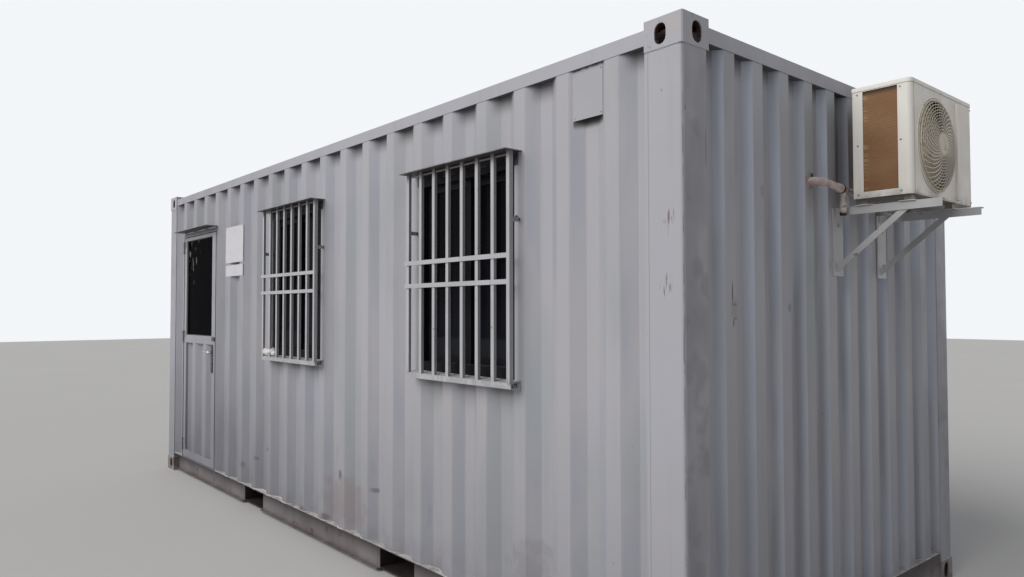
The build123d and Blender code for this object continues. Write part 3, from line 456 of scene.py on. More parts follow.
# Window panes: dark, a little bluer and paler towards the sill
def window_glass():
    coat = Coat("window_glass", specular=0.012)
    film = coat.cloud((0.4, 0.75), 2.6, (2.5, 2.5, 0.5), 4)
    coat.start(film, (0.004, 0.004, 0.005), (0.0085, 0.009, 0.0125))
    coat.over((0.012, 0.013, 0.0185), coat.rise(WINDOW_HIGH - 0.35, WINDOW_LOW + 0.1), 0.7)
    coat.over((0.023, 0.026, 0.031), coat.rise(WINDOW_LOW + 0.185, WINDOW_LOW + 0.165), 0.8)
    coat.finish(coat.band(film, 0, 1, 0.05, 0.14), coat.noise(1.4, detail=1), 0.002, 0.2)


# Door pane: dark, with a pale ragged reflection near its top left corner
def door_pane():
    coat = Coat("door_pane", specular=0.001)
    low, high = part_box("door_glass")
    film = coat.cloud((0.45, 0.75), 3.6, (1, 1, 0.6), 4)
    coat.start(film, (0.0028, 0.0028, 0.0034), (0.005, 0.005, 0.0058))
    corner = coat.mark(coat.x, low[0] + 0.16, high[2] - 0.14, 0.16, 0.2, 0.4, 2)
    coat.over((0.24, 0.25, 0.24), corner, coat.cloud((0.56, 0.62), 20, (1, 1, 0.5), 4, 1), 0.7)
    coat.finish(coat.band(film, 0, 1, 0.06, 0.16), coat.noise(1.4, detail=1), 0.002, 0.2)


# Bracket paint: grey angle iron, painted shade on faces that point down, pale feet under the unit
def bracket_paint():
    coat = Coat("bracket_paint", specular=0.3)
    coat.tones(6, 3, (0.51, 0.508, 0.516), (0.425, 0.422, 0.428))
    spots = coat.cloud((0.66, 0.74), 30, detail=4, at=2)
    coat.over(RUST, spots, 0.7)
    # Painted shade on faces that point down
    coat.over(SHADOW_DIRT, coat.facing("Z", -0.5, -0.9), 0.6)
    foot = coat.rise(UNIT_LOW.z - 0.0275, UNIT_LOW.z - 0.0255)
    coat.over(coat.mix(coat.noise(30), (0.36, 0.33, 0.29), (0.22, 0.19, 0.16)), foot)
    coat.finish(coat.band(spots, 0, 1, 0.42, 0.7), coat.noise(140), 0.0006, 0.4)


def board_finish(name, light, dark, grain):
    coat = Coat(name)
    lines = coat.cloud((0.35, 0.7), 1, grain, 5)
    coat.start(lines, light, dark)
    coat.finish(coat.band(lines, 0, 1, 0.5, 0.7), lines, 0.0006, 0.4)


# A worn surface of two tones with dirt or rust over it
def worn(name, light, dark, over, scale=8, metallic=0, rough=(0.42, 0.65), at=0.62, specular=0.4):
    coat = Coat(name, metallic=metallic, specular=specular)
    coat.tones(scale, 3, light, dark)
    spots = coat.cloud((at, at + 0.08), scale * 5, detail=4, at=2)
    coat.over(over, spots, 0.8)
    coat.finish(coat.band(spots, 0, 1, *rough), coat.noise(scale * 12, detail=3), 0.0008, 0.4)


def sign_paint():
    coat = Coat("sign_paint")
    low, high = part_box("sign_plates")
    coat.start(coat.cloud((0.5, 0.8), 6, detail=4), (0.6, 0.58, 0.625), (0.5, 0.475, 0.495))
    runs = coat.cloud((0.58, 0.8, 0, 0.4), 1, (30, 30, 2.5), 4)
    coat.over((0.42, 0.38, 0.37), runs)
    half = (high[0] - low[0]) / 2
    rim_x = coat.band(coat.off(coat.x, (low[0] + high[0]) / 2), half - 0.02, half)
    rim_z = coat.band(coat.off(coat.z, PLATE_GAP_Z), 0.01, 0.003)
    rim = coat.both(coat.either(rim_x, rim_z), coat.cloud((0.4, 0.6), 22, at=3))
    coat.over((0.25, 0.22, 0.22), rim, 0.6)
    coat.finish(coat.band(runs, 0, 0.5, 0.3, 0.55), coat.noise(3), 0.003, 0.3)


def unit_paint():
    coat = Coat("unit_paint", specular=0.4)
    coat.tones(2.2, 3, (0.76, 0.725, 0.67), (0.785, 0.76, 0.72))
    front = coat.facing("X", 0.75, 0.97)
    coat.over((0.8, 0.745, 0.665), front, 0.7)
    # Painted shade of the shallow fold near the front's left corner
    fold = coat.both(coat.band(coat.off(coat.y, UNIT_LOW.y + 0.027), 0.004, 0.0012), front)
    coat.over((0.27, 0.24, 0.21), fold, 0.85)
    coat.over((0.33, 0.28, 0.22), coat.cloud((0.6, 0.8, 0, 0.35), 1, (34, 34, 2), 4, 3))
    coat.over(GRIME_AND_SHADE, coat.rise(UNIT_LOW.z + 0.05, UNIT_LOW.z), coat.cloud((0.35, 0.65), 16), 0.5)
    # Painted shade on faces that point down
    coat.over((0.1, 0.085, 0.07), coat.facing("Z", -0.5, -0.9), 0.85)
    # Painted shade on the casing's inner faces behind its front
    away = 0
    for k, place in enumerate((coat.x, coat.y, coat.z)):
        lean = coat.both(coat.normal("XYZ"[k]), coat.minus(place, (UNIT_LOW[k] + UNIT_HIGH[k]) / 2))
        away = coat.plus(lean, away)
    inside = coat.band(coat.x, UNIT_FACE - 0.002, UNIT_FACE - 0.006)
    inside = coat.both(coat.band(away, -0.002, -0.02), inside, coat.rise(UNIT_LOW.z, UNIT_LOW.z + 0.0008))
    coat.over((0.04, 0.034, 0.028), inside, 0.9)
    coat.finish(coat.cloud((0.3, 0.7, 0.36, 0.55), 9), coat.noise(160), 0.0006, 0.3)


# Coil: close rows of fins, dusted copper brown, paler where the dust is gone
def coil_finish():
    coat = Coat("coil_finish", roughness=0.6, specular=0.25)
    rows = coat.math("SINE", coat.both(coat.z, 2 * math.pi / 0.0085))
    fins = coat.math("SINE", coat.both(coat.plus(coat.x, coat.y), 2 * math.pi / 0.003))
    coat.start(coat.cloud((0.35, 0.7), 5, (1, 1, 2.2), 4), (0.235, 0.122, 0.058), (0.285, 0.162, 0.08))
    coat.over((0.15, 0.075, 0.038), coat.band(rows, 0.1, 1, 0, 0.14))
    edge = coat.band(coat.x, UNIT_LOW.x + 0.075, UNIT_LOW.x + 0.05)
    pale = coat.both(edge, coat.cloud((0.5, 0.62), 1, (6, 6, 90), 3))
    bare = coat.either(pale, coat.cloud((0.74, 0.78), 34, (1, 1, 1.4), 2, 7))
    coat.over((0.5, 0.36, 0.22), bare, 0.5)
    coat.over((0.03, 0.018, 0.012), coat.rise(UNIT_HIGH.z - 0.05, UNIT_HIGH.z - 0.024), 0.85)
    height = coat.plus(coat.both(fins, 0.5), rows)
    coat.finish(None, height, 0.0008, 0.5)


def pipe_tape():
    coat = Coat("pipe_tape")
    coat.start(coat.cloud((0.42, 0.58), 24, detail=4), (0.57, 0.495, 0.475), (0.41, 0.32, 0.295))
    coat.over((0.085, 0.05, 0.042), coat.cloud((0.6, 0.68), 36, detail=4, at=6), 0.75)
    coat.finish(coat.cloud((0.3, 0.7, 0.5, 0.75), 30), coat.noise(90, detail=4), 0.003, 0.7)


# Object from a shape, with one material
def placed(shape, name, material):
    mesh = bpy.data.meshes.new(name)
    shape.to_mesh(mesh)
    shape.free()
    mesh.materials.append(material)
    piece = bpy.data.objects.new(name, mesh)
    bpy.context.collection.objects.link(piece)
    return piece


# A finished piece keeps its place in its mesh and rides its body
def finished(shape, name, finish, body="cabin", sharp=38):
    bmesh.ops.remove_doubles(shape, verts=shape.verts[:], dist=0.00001)
    bmesh.ops.recalc_face_normals(shape, faces=shape.faces[:])
    for face in shape.faces:
        face.smooth = True
    piece = placed(shape, name, FINISHES[finish])
    piece.data.set_sharp_from_angle(angle=math.radians(sharp))
    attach(piece, body)
    return piece


# Edges or faces that meet some corners, each once and in a steady order
def around(corners, kind):
    return list(dict.fromkeys(part for vert in corners for part in getattr(vert, kind)))


def soften(shape, edges, size, steps=2):
    bmesh.ops.bevel(shape, geom=edges, offset=size, offset_type="OFFSET", segments=steps, profile=0.5,
                    affect="EDGES", material=-1)


# Round bar between two places
def rod(shape, start, end, radius, sides=12, narrow=None):
    start, end = Vector(start), Vector(end)
    turn = (end - start).to_track_quat("Z", "Y").to_matrix().to_4x4()
    place = Matrix.Translation((start + end) / 2) @ turn
    far = radius if narrow is None else narrow
    bmesh.ops.create_cone(shape, cap_ends=True, segments=sides, radius1=radius, radius2=far,
                          depth=(end - start).length, matrix=place)


# Block, with softened edges if asked
def block(shape, low, high, soft=0.0):
    low, high = Vector(low), Vector(high)
    place = Matrix.Translation((low + high) / 2) @ Matrix.Diagonal((*(high - low), 1.0))
    made = bmesh.ops.create_cube(shape, size=1.0, matrix=place)["verts"]
    if soft:
        soften(shape, around(made, "link_edges"), soft)
    return made


# Round lump with its reach along each axis
def lump(shape, centre, reach, radius=1.0, steps=3):
    place = Matrix.Translation(centre) @ Matrix.Diagonal((*reach, 1.0))
    return bmesh.ops.create_icosphere(shape, subdivisions=steps, radius=radius, matrix=place)["verts"]


def even_out(shape, corners, share):
    bmesh.ops.smooth_vert(shape, verts=corners, factor=share, use_axis_x=True, use_axis_y=True,
                          use_axis_z=True)


# Round cord or bead of weld through a row of places
def bead(shape, points, radii, sides=8):
    points = [Vector(point) for point in points]
    legs = [(b - a).normalized() for a, b in zip(points, points[1:])]
    ways = [legs[0]] + [(a + b).normalized() for a, b in zip(legs, legs[1:])] + [legs[-1]]
    place = Matrix.Translation(points[0]) @ ways[0].to_track_quat("Z", "Y").to_matrix().to_4x4()
    ring = bmesh.ops.create_circle(shape, cap_ends=True, segments=sides, radius=radii[0], matrix=place)
    cap = ring["verts"][0].link_faces[0]
    for k in range(1, len(points)):
        grown = bmesh.ops.extrude_face_region(shape, geom=[cap])["geom"]
        cap = next(part for part in grown if isinstance(part, bmesh.types.BMFace))
        bend = ways[k - 1].rotation_difference(ways[k]).to_matrix().to_4x4()
        move = Matrix.Translation(points[k]) @ bend @ Matrix.Scale(radii[k] / radii[k - 1], 4)
        bmesh.ops.transform(shape, matrix=move @ Matrix.Translation(-points[k - 1]), verts=cap.verts[:])


# Bolt with a washer and a six-sided head
def bolt(shape, place, way, radius):
    place, way = Vector(place), Vector(way)
    rod(shape, place - way * radius * 0.3, place + way * radius * 0.25, radius * 1.5, 14, radius * 1.4)
    rod(shape, place, place + way * radius * 0.9, radius, 6)
    rod(shape, place + way * radius * 0.8, place + way * radius * 1.1, radius * 0.85, 6, radius * 0.6)


# Screw or rivet with a low domed head
def screw(shape, place, way, radius):
    place, way = Vector(place), Vector(way)
    rod(shape, place - way * radius * 0.4, place + way * radius * 0.25, radius, 12)
    rod(shape, place + way * radius * 0.25, place + way * radius * 0.5, radius, 12, radius * 0.6)
    rod(shape, place + way * radius * 0.5, place + way * radius * 0.6, radius * 0.6, 12, radius * 0.2)


def turned(shape, line, centre, steps):
    bmesh.ops.spin(shape, geom=line, cent=centre, axis=(1, 0, 0), angle=2 * math.pi, steps=steps,
                   use_merge=True)


# Ring about the fan's axle, with a flat or a round section
def fan_ring(shape, radius, out, wide, deep, sides=4):
    centre = Vector((out, FAN_CENTRE, FAN_HEIGHT))
    size = Matrix.Diagonal((deep, 1.0, wide, 1.0)) @ Matrix.Rotation(math.radians(90), 4, "X")
    turn = Matrix.Rotation(math.pi / sides, 4, "Z")
    place = Matrix.Translation(centre + Vector((0, 0, radius))) @ size @ turn
    corner = 0.5 / math.cos(math.pi / sides)
    made = bmesh.ops.create_circle(shape, cap_ends=False, segments=sides, radius=corner,
                                   matrix=place)["verts"]
    turned(shape, made + around(made, "link_edges"), centre, 72)


# Solid turned about the fan's axle from a row of depths and radii
def fan_turning(shape, row):
    made = [shape.verts.new((out, FAN_CENTRE, FAN_HEIGHT + radius)) for out, radius in row]
    edges = [shape.edges.new(pair) for pair in zip(made, made[1:])]
    turned(shape, made + edges, (0, FAN_CENTRE, FAN_HEIGHT), 36)


# Thin strip whose corners go where spot sends them, as depth, radius and angle about the axle
def bent_strip(shape, steps, thick, spot, turn):
    made = bmesh.ops.create_grid(shape, x_segments=steps[0], y_segments=steps[1], size=0.5)["verts"]
    faces = around(made, "link_faces")
    for vert in made:
        out, radius, angle = spot(vert.co.x + 0.5, vert.co.y + 0.5, turn)
        vert.co = (out, FAN_CENTRE + radius * math.cos(angle), FAN_HEIGHT + radius * math.sin(angle))
    bmesh.ops.solidify(shape, geom=faces, thickness=thick)


# Edges of the waves between two ends, as places along the wall and depths
def wave(spec, low, high):
    edge, pitch, crest, slope, deep = spec
    stops = ((0, 0), (slope, deep), (pitch - crest - slope, deep), (pitch - crest, 0), (pitch, 0))
    row = []
    place = low
    while place < high:
        share = (place - edge) % pitch
        for (a, da), (b, db) in zip(stops, stops[1:]):
            if a <= share < b:
                row.append((place, da + (db - da) * (share - a) / (b - a)))
        place += WAVE_STEP
    return row


# Guard: spiral ribs over deep rings on a dome, with a rim and a pale disc
GUARD_HUB = 0.047
GUARD_RIM = 0.196
GUARD_RIBS = 38
GUARD_RINGS = 12
GUARD_SWIRL = math.radians(-52)
RIB_WIDTH = 0.0026
DOME_FOOT = 0.0065
DOME_RISE = 0.025
DOME_RADIUS = 0.199


def dome(radius):
    return UNIT_FACE + DOME_FOOT + DOME_RISE * math.sqrt(max(0.0, 1 - (radius / DOME_RADIUS) ** 2.2))


def guard_rib(share, side, turn):
    radius = GUARD_HUB - 0.003 + share * (GUARD_RIM - GUARD_HUB + 0.003)
    angle = turn + GUARD_SWIRL * share
    return dome(radius), radius, angle + (side - 0.5) * RIB_WIDTH / radius


def make_fan_guard():
    shape = bmesh.new()
    for k in range(GUARD_RIBS):
        bent_strip(shape, (10, 1), 0.003, guard_rib, 2 * math.pi * k / GUARD_RIBS)
    for k in range(GUARD_RINGS):
        radius = GUARD_HUB + (GUARD_RIM - GUARD_HUB) * (k + 0.6) / GUARD_RINGS
        fan_ring(shape, radius, dome(radius) - 0.0059, 0.0027, 0.0115)
    guard = finished(shape, "guard_ribs", "guard_plastic")
    rim = bmesh.new()
    fan_ring(rim, 0.2005, UNIT_FACE + 0.0035, 0.01, 0.0085, 10)
    hub = dome(0)
    disc = ((-0.004, 0.0), (-0.004, 0.049), (-0.001, 0.0495), (0.001, 0.047), (0.0015, 0.038),
            (0.0008, 0.036), (0.0008, 0.0))
    fan_turning(rim, [(hub + out, radius) for out, radius in disc])
    rim = finished(rim, "guard_rim", "guard_plastic")
    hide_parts("fan_guard")


# Fan: three wide twisted blades on a rounded hub
BLADES = 3
BLADE_ROOT = 0.045
BLADE_LONG = 0.127


def make_fan():
    low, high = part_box("unit_fan")
    front, back = high[0], low[0]

    def blade(share, side, turn):
        radius = BLADE_ROOT + share * BLADE_LONG - 0.01 * share * (2 * side - 1) ** 2
        angle = turn + math.radians((48 + 34 * share) * (side - 0.5) + 16 * share)
        out = back + 0.006 + (front - back - 0.014) * (side * 0.85 + 0.12 * math.sin(side * math.pi))
        return out, radius, angle

    shape = bmesh.new()
    for k in range(BLADES):
        bent_strip(shape, (9, 8), 0.0024, blade, 2 * math.pi * k / BLADES)
    hub = ((back + 0.031, 0.0), (back + 0.031, 0.01), (back + 0.002, 0.01), (back + 0.002, 0.044),
           (back + 0.004, 0.048), (front - 0.012, 0.048), (front - 0.004, 0.042),
           (front - 0.001, 0.026), (front - 0.001, 0.0))
    fan_turning(shape, hub)
    blades = finished(shape, "fan_blades", "fan_plastic", "fan")
    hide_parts("unit_fan")


# Casing's lid, ribs and screws, and the flanges of its feet with the brackets' bolts
FOOT_SIZE = 0.032
FEET_X = (UNIT_LOW.x + FOOT_SIZE, UNIT_HIGH.x - FOOT_SIZE)
FLANGE_Z = (UNIT_LOW.z - 0.0275, UNIT_LOW.z - 0.0235)
DIVIDER_Y = (0.425, 0.45)
BRACKET_SIDE = 0.045


def make_unit_trim():
    shape = bmesh.new()
    made = block(shape, (UNIT_LOW.x - 0.002, UNIT_LOW.y - 0.002, UNIT_HIGH.z - 0.016),
                 UNIT_HIGH + Vector((0.002, 0.002, 0.003)))
    edges = around(made, "link_edges")
    upright = [edge for edge in edges if abs(edge.verts[0].co.z - edge.verts[1].co.z) > 0.01]
    corners = [edge for edge in upright if all(vert.co.x > UNIT_HIGH.x for vert in edge.verts)]
    soften(shape, corners, 0.023, 6)
    above = [edge for edge in shape.edges if all(vert.co.z > UNIT_HIGH.z for vert in edge.verts)]
    soften(shape, above, 0.004)
    finished(shape, "unit_lid", "unit_paint")
    shape = bmesh.new()
    block(shape, (UNIT_FACE - 0.001, DIVIDER_Y[0], UNIT_LOW.z + 0.012),
          (UNIT_FACE + 0.011, DIVIDER_Y[1], UNIT_HIGH.z - 0.032), 0.0018)
    fan_ring(shape, 0.2105, UNIT_FACE + 0.0012, 0.0065, 0.006, 8)
    block(shape, (UNIT_FACE - 0.001, UNIT_LOW.y + 0.03, UNIT_LOW.z + 0.004),
          (UNIT_FACE + 0.002, UNIT_HIGH.y - 0.024, UNIT_LOW.z + 0.0125), 0.0008)
    finished(shape, "unit_ribs", "unit_paint")
    shape = bmesh.new()
    for x in (UNIT_LOW.x + 0.022, UNIT_HIGH.x - 0.045):
        for z in (UNIT_LOW.z + 0.016, UNIT_LOW.z + 0.235, UNIT_HIGH.z - 0.03):
            screw(shape, (x, UNIT_LOW.y, z), TO_FRONT, 0.0045)
    for y in (0.455, 0.615):
        for z in (UNIT_LOW.z + 0.018, UNIT_HIGH.z - 0.03):
            screw(shape, (UNIT_FACE, y, z), TO_RIGHT, 0.004)
    for y in (UNIT_LOW.y + 0.05, 0.29, UNIT_HIGH.y - 0.05):
        screw(shape, (UNIT_LOW.x, y, UNIT_LOW.z + 0.012), (-1, 0, 0), 0.0045)
    finished(shape, "unit_screws", "dull_steel")
    low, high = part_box("unit_brackets")
    flanges, bolts = bmesh.new(), bmesh.new()
    for y in (low[1] + BRACKET_SIDE, high[1] - BRACKET_SIDE):
        for z in (low[2] + 0.03, high[2] - 0.105):
            bolt(bolts, (RIGHT_CREST + 0.006, y, z), TO_RIGHT, 0.0068)
        for x in FEET_X:
            block(flanges, (x - 0.034, y - 0.026, FLANGE_Z[0]), (x + 0.034, y + 0.026, FLANGE_Z[1]),
                  0.0012)
            rod(bolts, (x, y - 0.004, UNIT_LOW.z - 0.052), (x, y - 0.004, UNIT_LOW.z - 0.002), 0.0035, 10)
            bolt(bolts, (x, y - 0.004, UNIT_LOW.z - 0.0315), (0, 0, -1), 0.0068)
    finished(flanges, "unit_feet", "unit_paint")
    finished(bolts, "bracket_bolts", "dull_steel")


# Wrapped pipe: lumpy tape from the wall, along behind the unit and into its back
PIPE_Y, PIPE_Z = -0.261, 2.062
PIPE_X = 2.852
PIPE_END_Y = 0.57
PIPE_FALL = 0.1
PIPE_STEPS = 74
PIPE_RADIUS = 0.0165
STUB_Y, STUB_TOP, STUB_LONG = -0.063, 2.042, 0.116
STUB_STEPS = 14
BAND_Y = -0.076
SEALANT_Y = -0.262


def pipe_height(y):
    return PIPE_Z - PIPE_FALL * (y - PIPE_Y)


def make_pipe():
    points, radii = [], []
    elbow = ((-0.006, 0.0), (0.012, 0.0), (0.024, 0.003), (0.034, 0.01), (0.044, 0.022), (0.051, 0.036))
    for out, along in elbow:
        points.append((RIGHT_CREST + out, PIPE_Y + along, PIPE_Z - PIPE_FALL * along))
        radii.append(0.0195 + random.uniform(-0.0008, 0.0012))
    for k in range(1, PIPE_STEPS):
        y = PIPE_Y + 0.04 + (PIPE_END_Y - PIPE_Y - 0.062) * k / PIPE_STEPS
        wrap = 0.0025 * math.sin(k * 2.1) + random.uniform(-0.001, 0.001)
        swell = 0.004 * math.exp(-((y + 0.085) / 0.03) ** 2)
        points.append((PIPE_X + 0.0008 * math.sin(k * 0.9), y, pipe_height(y)))
        radii.append(min(0.0205, PIPE_RADIUS + 0.4 * wrap + swell))
    last = points[-1]
    for out, along in ((0.004, 0.01), (0.014, 0.018), (0.028, 0.022), (0.05, 0.022)):
        points.append((last[0] + out, last[1] + along, last[2] - 0.002))
        radii.append(PIPE_RADIUS)
    shape = bmesh.new()
    bead(shape, points, radii, 14)
    stub = [(PIPE_X, STUB_Y, STUB_TOP - STUB_LONG * k / STUB_STEPS) for k in range(STUB_STEPS + 1)]
    wraps = [0.0155 + 0.0012 * math.sin(k * 1.9) - 0.003 * (k > 12) for k in range(STUB_STEPS + 1)]
    bead(shape, stub, wraps, 14)
    pipe = finished(shape, "wrapped_pipe", "pipe_tape", sharp=60)
    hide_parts("unit_pipe")
    shape = bmesh.new()
    z = pipe_height(BAND_Y)
    row = ((PIPE_X, BAND_Y - 0.007, z + 0.0007), (PIPE_X, BAND_Y, z), (PIPE_X, BAND_Y + 0.007, z - 0.0007))
    bead(shape, row, (0.0205, 0.0218, 0.0205), 16)
    bead(shape, [(PIPE_X, STUB_Y, z) for z in (1.936, 1.93, 1.924)], [0.015, 0.0158, 0.013], 14)
    finished(shape, "pipe_bands", "black_tape")
    shape = bmesh.new()
    made = lump(shape, (RIGHT_CREST + 0.001, SEALANT_Y, 2.068), (0.006, 0.031, 0.04))
    for vert in made:
        swell = 1 + random.uniform(-0.05, 0.05)
        vert.co.y = SEALANT_Y + (vert.co.y - SEALANT_Y) * swell
    even_out(shape, made, 0.4)
    finished(shape, "wall_sealant", "sealant", sharp=80)
    shape = bmesh.new()
    lump(shape, (RIGHT_CREST + 0.0058, -0.246, 2.091), (0.004, 0.011, 0.01), steps=2)
    finished(shape, "sealant_hole", "black_tape")


# Door: lever, lock's screws and keyhole, hinge screws, the pane's seal, and dark strips on the jambs that
# stand in for the shade of the gaps
LEVER_LINE = ((0, 0.001), (0, -0.024), (-0.002, -0.031), (-0.008, -0.0355), (-0.02, -0.037),
              (-0.06, -0.037), (-0.1, -0.0362), (-0.124, -0.0335), (-0.136, -0.0285), (-0.141, -0.0235))
LEVER_RADII = (0.0088, 0.0086, 0.0086, 0.008, 0.0066, 0.0062, 0.0062, 0.0062, 0.0058, 0.004)
LOCK_SCREWS_Z = (0.985, 1.02, 1.115, 1.205)
KEY_Z = 1.062
KEY_FOOT_Z = 1.046
HINGES_Z = (0.29, 1.265)
FRAME_SCREWS_X = -2.847
LEAF_SCREWS_X = -2.801
SEAL = 0.006


def make_door_hardware():
    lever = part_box("door_lever")
    spot = Vector((lever[1][0] - 0.009, lever[1][1], (lever[0][2] + lever[1][2]) / 2))
    shape = bmesh.new()
    bead(shape, [spot + Vector((x, y, 0)) for x, y in LEVER_LINE], LEVER_RADII, 16)
    handle = finished(shape, "lever_handle", "bright_steel", "lever", 50)
    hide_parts("door_lever")
    low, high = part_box("door_lock")
    x, face = spot.x, low[1]
    shape = bmesh.new()
    for z in LOCK_SCREWS_Z:
        screw(shape, (x, face, z), TO_FRONT, 0.0042)
    for z, radius, sides, narrow in ((KEY_Z, 0.0105, 20, 0.0095), (KEY_FOOT_Z, 0.0062, 14, 0.0056)):
        rod(shape, (x, face + 0.002, z), (x, face - 0.004, z), radius, sides, narrow)
    finished(shape, "lock_screws", "dull_steel", "door")
    shape = bmesh.new()
    rod(shape, (x, face + 0.001, KEY_Z), (x, face - 0.0046, KEY_Z), 0.0045, 14)
    block(shape, (x - 0.0012, face - 0.005, 1.044), (x + 0.0012, face + 0.001, 1.06))
    finished(shape, "keyhole", "black_tape", "door")
    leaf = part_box("leaf_hinges")
    frame_side, leaf_side = bmesh.new(), bmesh.new()
    for z in (*HINGES_Z, leaf[1][2] - 0.055):
        for rise in (0.012, 0.04):
            screw(frame_side, (FRAME_SCREWS_X, leaf[1][1] - 0.003, z - rise), TO_FRONT, 0.0046)
            screw(leaf_side, (LEAF_SCREWS_X, leaf[1][1] - 0.003, z + rise), TO_FRONT, 0.0046)
    finished(frame_side, "frame_hinge_screws", "rusty_steel")
    finished(leaf_side, "leaf_hinge_screws", "rusty_steel", "door")
    pane_low, pane_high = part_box("door_glass")
    x0, x1 = pane_low[0] + 0.01, pane_high[0] - 0.01
    z0, z1 = pane_low[2] + 0.01, pane_high[2] - 0.01
    y0, y1 = pane_low[1] - SEAL, pane_low[1]
    shape = bmesh.new()
    for low, high in (((x0, y0, z0), (x0 + SEAL, y1, z1)), ((x1 - SEAL, y0, z0), (x1, y1, z1)),
                      ((x0, y0, z0), (x1, y1, z0 + SEAL)), ((x0, y0, z1 - SEAL), (x1, y1, z1))):
        block(shape, low, high, 0.0015)
    finished(shape, "door_glass_seal", "black_tape", "door")
    leaf_low, leaf_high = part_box("door_leaf")
    # Dark strips on the frame beside the leaf: painted shade of the jamb gaps
    shape = bmesh.new()
    for x0, x1 in ((leaf_high[0] + 0.0065, leaf_high[0] + 0.02),
                   (leaf_low[0] - 0.018, leaf_low[0] - 0.0065)):
        block(shape, (x0, leaf_low[1] - 0.0012, leaf_low[2]),
              (x1, leaf_low[1] + 0.002, leaf_high[2] + 0.01), 0.0006)
    finished(shape, "jamb_shade_strips", "black_tape")


# Windows: bolts on the stand-off tabs, a lug at each sill, seals along the panes and foam lumps
FOAM_LUMPS = ((-0.846, 1.208, 0.032), (-0.812, 1.2, 0.026), (-0.75, 1.216, 0.034), (-0.716, 1.2, 0.024))
LUG_X, LUG_Z = 0.397, 1.161
STANDOFF_Z = 1.91


def make_window_hardware():
    bolts, lugs, seals = bmesh.new(), bmesh.new(), bmesh.new()
    pane_low, pane_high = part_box("window_glass")
    for centre in WINDOW_CENTRES:
        for side in (-1, 1):
            bolt(bolts, (centre + side * (GRILLE_HALF - 0.018), FRONT_CREST, STANDOFF_Z), TO_FRONT, 0.0062)
            tab = (centre + side * (GRILLE_HALF + 0.002), FRONT_CREST - 0.03, STANDOFF_Z + 0.01)
            bolt(bolts, tab, (0, 0, 1), 0.005)
        lug = Vector((centre + LUG_X, FRONT_CREST - 0.016, LUG_Z))
        ring = [lug + Vector((0.012 * math.cos(k * math.pi / 6), -0.004, 0.01 * math.sin(k * math.pi / 6)))
                for k in range(13)]
        bead(lugs, ring, [0.004] * 13, 8)
        bolt(lugs, lug + Vector((0, 0.012, 0)), TO_FRONT, 0.0072)
        mullion = centre - 0.004
        block(seals, (mullion - 0.019, pane_low[1] - 0.004, pane_low[2]),
              (mullion - 0.014, pane_low[1] + 0.002, pane_high[2]), 0.001)
    finished(bolts, "grille_bolts", "rusty_steel")
    finished(lugs, "sill_lugs", "dull_steel")
    finished(seals, "sash_seals", "black_tape")
    shape = bmesh.new()
    for x, z, size in FOAM_LUMPS:
        made = lump(shape, (x, FRONT_CREST - 0.036, z), (1.2, 0.8, 0.85), size)
        for vert in made:
            push = [random.uniform(-1, 1) for _ in range(3)]
            vert.co += Vector(push) * size * 0.1
        even_out(shape, made, 0.5)
    finished(shape, "foam_lumps", "pale_foam", sharp=80)


# Strips that close the waves behind the hoods
def make_hood_fillers():
    low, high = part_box("rain_hoods")
    reach = WINDOW_HALF + 0.052
    shape = bmesh.new()
    for centre in WINDOW_CENTRES:
        block(shape, (centre - reach, FRONT_CREST - 0.004, low[2] + 0.0004),
              (centre + reach, FRONT_CREST + 0.037, high[2] - 0.0004), 0.001)
    finished(shape, "hood_fillers", "hood_paint")


# Rivets of the two white plates and of the vent cover
def make_plate_rivets():
    low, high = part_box("sign_plates")
    shape = bmesh.new()
    for z in (high[2] - 0.014, PLATE_GAP_Z + 0.029, PLATE_GAP_Z - 0.017, low[2] + 0.012):
        for x in (low[0] + 0.014, high[0] - 0.014):
            screw(shape, (x, low[1], z), TO_FRONT, RIVET)
    finished(shape, "sign_rivets", "dull_steel")
    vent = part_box("vent_cover")
    shape = bmesh.new()
    for x in (vent[0][0] + 0.012, vent[1][0] - 0.012):
        for z in (vent[0][2] + 0.012, vent[1][2] - 0.02):
            screw(shape, (x, vent[0][1], z), TO_FRONT, RIVET)
    finished(shape, "vent_rivets", "paint_bead")


# Weld and dirt beads along the foot of every wall and round the castings
WALL_ENDS_X = (-3.068, POST_HIGH[0] - CASTING_X)
WALL_ENDS_Y = (-1.02, 1.112)
DOORWAY_X = (-2.868, -1.962)
BACK_BEAD = 0.0066
FRONT_BEAD = 0.0085


